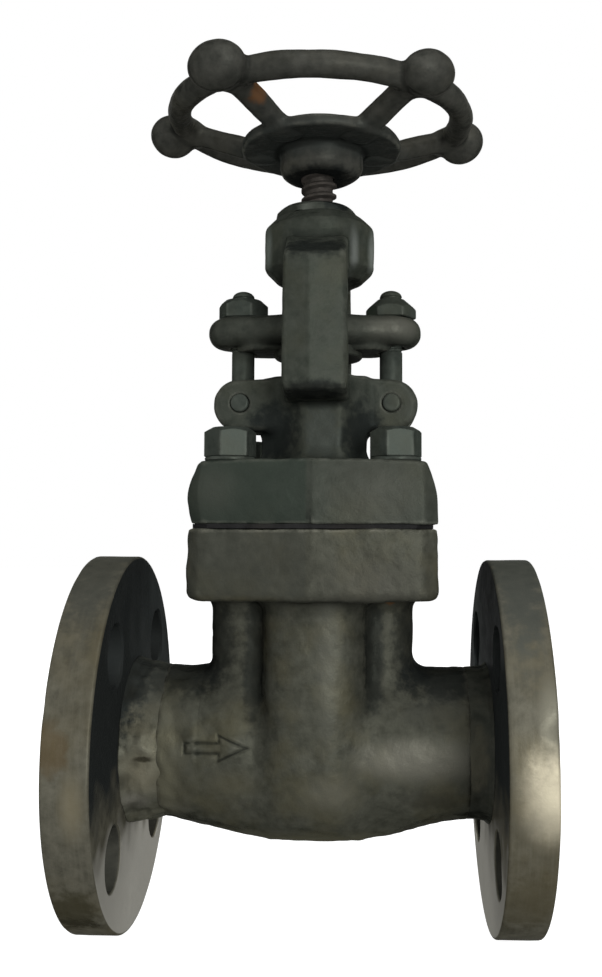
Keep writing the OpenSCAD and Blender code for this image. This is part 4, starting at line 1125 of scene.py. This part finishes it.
def makeGlandNut(side, x):  # a bored hexagon, each side's with its own turn and round top
    s, own = eyeShape, eyeShape[side]
    low, high = span(f"{side}_gland_nut")
    nut = hexPiece(f"{side}_nut", (x, 0), low[2], high[2], s["nutFlats"], own["nutTurn"], own["nutTopR"],
                   s["nutSlope"], bore=s["nutBore"])
    standFor(nut, boltSteel, f"{side}_gland_nut")


for side in ("left", "right"):
    boltX, boltPinZ = makeEyebolt(side)
    makePin(side, boltX, boltPinZ)
    makeGlandNut(side, boltX)

followerShape = {"boreR": 5.25, "sleeveR": 7.85, "collarT": 3.0, "edge": 0.4, "around": 96}


def makeFollower():  # a turned profile: a sleeve under a collar with chamfered edges
    s = followerShape
    low, high = span("gland_follower")
    collarR, collarLow, e = (high[0] - low[0]) / 2, high[2] - s["collarT"], s["edge"]
    radius = [s["boreR"], s["sleeveR"], s["sleeveR"], collarR - e, collarR, collarR, collarR - e, s["boreR"]]
    height = [low[2], low[2], collarLow, collarLow, collarLow + e, high[2] - e, high[2], high[2]]
    points = turned(column(radius), column(height), s["around"], (axisX, 0, 0))
    return ringMesh("collared_follower", points, closed=True, sharp=30, wear=column([0, 0, 0, .5, .5, .5, .4, 0]))


standFor(makeFollower(), glandSteel, "gland_follower")
print("gland ready")


# Angles are in degrees. Each knob has its width, its height and how far it is lifted.
wheelShape = {"step": 0.46, "rimR": 39.2, "tube": 3.25, "rimZ": 169.7, "tipBack": 1.9, "tipSide": 1.0,
              "leftTuck": 0.02, "first": 22.4, "knobOut": 4.8, "knobOutR": 6.2, "knobJoin": 1.2,
              "knobs": ((7.3, 5.9, 0), (7.3, 5.9, 0), (7.2, 5.8, -0.8), (7.9, 6.0, 0.1), (7.0, 5.5, 0.1)),
              "spokeIn": 3.1, "spokeOut": 3.2, "spokeWide": 1.12, "spokeFlat": 1.1, "spokeInside": 6,
              "spokeJoin": 2.6, "discR": 22.0, "discLow": 160.5, "discHigh": 163.5, "discEdge": 1.1,
              "hubShift": 0.7, "hubR": 11.4, "hubLow": 153.3, "hubHigh": 164.2, "hubCone": (1.8, 1.8),
              "hubJoin": 1.6, "bore": 4.05}


def wheelFrame(x, y, z):  # the point in the rim's own frame, turned by both tips about its middle
    s = wheelShape
    a, b = math.radians(s["tipBack"]), math.radians(s["tipSide"])
    x, z = x - axisX, z - s["rimZ"]
    x, z = math.cos(b) * x - math.sin(b) * z, math.sin(b) * x + math.cos(b) * z
    return x, math.cos(a) * y + math.sin(a) * z, -math.sin(a) * y + math.cos(a) * z


# A torus, five flattened balls on it, five oval spokes that climb from the disc, the disc and the boss.
def wheelField(x, y, z):
    s = wheelShape
    u, v, w = wheelFrame(x, y, z)
    shape = np.hypot(np.hypot(u + s["leftTuck"] * np.minimum(u, 0), v) - s["rimR"], w) - s["tube"]
    start = s["discR"] - s["spokeInside"]
    climb = s["rimZ"] - (s["discLow"] + s["discHigh"]) / 2
    run = s["rimR"] - start
    for k, (wide, tall, lift) in enumerate(s["knobs"]):
        angle = math.radians(s["first"] + 360 / len(s["knobs"]) * k)
        along = u * math.cos(angle) + v * math.sin(angle)
        shift = s["hubShift"] * np.clip((s["rimR"] - along) / run, 0, 1)
        aside = v * math.cos(angle) - (u - shift) * math.sin(angle)
        t = np.clip(((along - start) * run + (w + climb) * climb) / (run ** 2 + climb ** 2), 0, 1)
        away = np.hypot(along - start - t * run, w + climb - t * climb)
        spoke = np.hypot(aside / s["spokeWide"], away * s["spokeFlat"]) - s["spokeIn"]
        spoke = spoke - (s["spokeOut"] - s["spokeIn"]) * t
        shape = softMin(shape, softMax(spoke, s["discLow"] - z, 1), s["spokeJoin"])
        out = along - s["rimR"] - s["knobOut"]
        ball = np.sqrt((aside / wide) ** 2 + (out / s["knobOutR"]) ** 2 + ((w - lift) / tall) ** 2)
        shape = softMin(shape, (ball - 1) * s["knobOutR"], s["knobJoin"])
    offset = np.hypot(x - axisX - s["hubShift"], y)
    disc = slab(offset - s["discR"], z, s["discLow"], s["discHigh"], s["discEdge"])
    shape = softMin(shape, disc, s["hubJoin"])
    boss = offset - s["hubR"]
    wide, tall = s["hubCone"]
    cone = (boss + wide + (s["hubLow"] - z) * wide / tall) / math.hypot(1, wide / tall)
    hub = softMax(slab(boss, z, s["hubLow"], s["hubHigh"], 0.8), cone, 1)
    shape = softMin(shape, hub, s["hubJoin"])
    return cutAway(shape, np.hypot(x - axisX, y) - s["bore"])


wheelLow, wheelHigh = span("handwheel")
wheel = fieldMesh("cast_handwheel", wheelField, wheelLow, wheelHigh, wheelShape["step"],
                  forgedTexture(51, 0.08, 0.02))
standFor(wheel, wheelSkin, "handwheel")

wheelNutShape = {"flats": 13.0, "turn": 0.1, "topR": 5.6, "slope": 30, "bore": 4.05, "washerHole": 4.1,
                 "washerEdge": 0.3}


def fastenWheel():  # the nut and washer on top of the hub
    s = wheelNutShape
    low, high = span("handwheel_nut")
    nut = hexPiece("wheel_nut", (low + high) / 2, low[2], high[2], s["flats"], s["turn"], s["topR"], s["slope"],
                   bore=s["bore"])
    standFor(nut, boltSteel, "handwheel_nut")
    low, high = span("handwheel_washer")
    washer = washerRing("wheel_washer", (axisX, 0, 0), low[2], high[2], s["washerHole"], (high[0] - low[0]) / 2,
                        s["washerEdge"])
    standFor(washer, boltSteel, "handwheel_washer")


fastenWheel()
print("wheel ready")


# The CAD nodes that stay.
for node, material in (("inlet_seat", seatSteel), ("outlet_seat", seatSteel), ("gate", seatSteel),
                       ("bonnet_gasket", graphite), ("stem_packing", graphite)):
    mesh = frame["nodes"][node].data
    mesh.materials.clear()
    mesh.materials.append(material)


cameraAt = {"yaw": 0.0401, "pitch": 0.06, "roll": 0.0029, "place": (76.41, -286.14, 54.58), "lens": 38.774,
            "sensor": 36, "shift": (-0.0291, -0.0156), "clip": (0.01, 20)}


# Looks along +Y, turned by yaw about the upright and tipped up by pitch; roll then turns the two cross
# axes by its cosine and sine. Angles are in radians.
def aimCamera(s):
    yaw, pitch, roll = s["yaw"], s["pitch"], s["roll"]
    forward = np.array([-math.sin(yaw) * math.cos(pitch), math.cos(yaw) * math.cos(pitch), math.sin(pitch)])
    right = np.array([math.cos(yaw), math.sin(yaw), 0])
    up = np.cross(right, forward)
    right, up = math.cos(roll) * right + math.sin(roll) * up, -math.sin(roll) * right + math.cos(roll) * up
    data = bpy.data.cameras.new("camera")
    data.sensor_width, data.lens = s["sensor"], s["lens"]
    data.shift_x, data.shift_y = s["shift"]
    data.clip_start, data.clip_end = s["clip"]
    camera = bpy.data.objects.new("camera", data)
    bpy.context.scene.collection.objects.link(camera)
    turn = Matrix([list(v) for v in (right, up, -forward)]).transposed().to_4x4()
    camera.matrix_world = Matrix.Translation([v * mm for v in s["place"]]) @ turn
    bpy.context.scene.camera = camera


aimCamera(cameraAt)
print("camera ready")

studio = {"floorHalf": 3000, "floorColour": 0.4, "floorRough": 0.9, "floorSeen": 0.93, "worldLight": 0.3,
          "worldSeen": 1.0, "target": (0.06, 0, 0.06)}  # target, and the lamps' places and sizes, are in metres
lamps = {  # place, size and power
    "keyFront": ((0.42, -0.88, 0.14), (0.3, 0.4), 7), "fillLeft": ((-0.8, -0.6, 0.3), (0.5, 0.6), 1.6),
    "topFront": ((0.2, -0.55, 0.8), (0.5, 0.4), 2.8), "backRight": ((0.6, 0.6, 0.3), (0.4, 0.6), 4.5),
    "backLeft": ((-0.5, 0.6, 0.3), (0.4, 0.6), 4.5)}


def seenPlainly(nodes, link):  # 1 for a ray from the camera, from a reflection or through glass, and 0 for light
    ray = nodes.new("ShaderNodeLightPath")
    seen = ray.outputs["Is Camera Ray"]
    for name in ("Is Glossy Ray", "Is Transmission Ray"):
        most = nodes.new("ShaderNodeMath")
        most.operation = "MAXIMUM"
        link(seen, most.inputs[0])
        link(ray.outputs[name], most.inputs[1])
        seen = most.outputs[0]
    return seen


def makeFloor(s):  # a square at the foot of the CAD box, lit as a grey, that glows nearly white where it is seen
    half, z = s["floorHalf"], cadLow[2] / mm
    corners = np.array([(-half, -half, z), (half, -half, z), (half, half, z), (-half, half, z)], float)
    floor = meshOf("floor", corners, [(0, 1, 2, 3)])
    material = bpy.data.materials.new("paleFloor")
    material.use_nodes = True
    link = material.node_tree.links.new
    shader = material.node_tree.nodes["Principled BSDF"]
    shader.inputs["Base Color"].default_value = (*[s["floorColour"]] * 3, 1)
    shader.inputs["Roughness"].default_value = s["floorRough"]
    shader.inputs["Specular IOR Level"].default_value = 0
    shader.inputs["Emission Color"].default_value = (1, 1, 1, 1)
    glow = addNode(material, "ShaderNodeMath", operation="MULTIPLY")
    glow.inputs[1].default_value = s["floorSeen"]
    link(seenPlainly(material.node_tree.nodes, link), glow.inputs[0])
    link(glow.outputs[0], shader.inputs["Emission Strength"])
    floor.data.materials.append(material)


def makeWorld(s):  # white, at full strength where it is seen and weaker as light
    world = bpy.data.worlds.new("studio")
    world.use_nodes = True
    bpy.context.scene.world = world
    nodes, link = world.node_tree.nodes, world.node_tree.links.new
    background = nodes["Background"]
    background.inputs["Color"].default_value = (1, 1, 1, 1)
    pick = nodes.new("ShaderNodeMapRange")
    pick.inputs[3].default_value = s["worldLight"]
    pick.inputs[4].default_value = s["worldSeen"]
    link(seenPlainly(nodes, link), pick.inputs[0])
    link(pick.outputs[0], background.inputs["Strength"])


def addLamp(name, place, size, power):  # a rectangle that faces the target: its own z axis points away from it
    data = bpy.data.lights.new(name, "AREA")
    data.shape, data.size, data.size_y, data.energy = "RECTANGLE", size[0], size[1], power
    lamp = bpy.data.objects.new(name, data)
    bpy.context.scene.collection.objects.link(lamp)
    way = Vector(place) - Vector(studio["target"])
    lamp.matrix_world = Matrix.Translation(place) @ way.to_track_quat("Z", "Y").to_matrix().to_4x4()


makeFloor(studio)
makeWorld(studio)
for name, (place, size, power) in lamps.items():
    addLamp(name, place, size, power)
bpy.context.scene.view_settings.view_transform = "Standard"
print("studio ready")
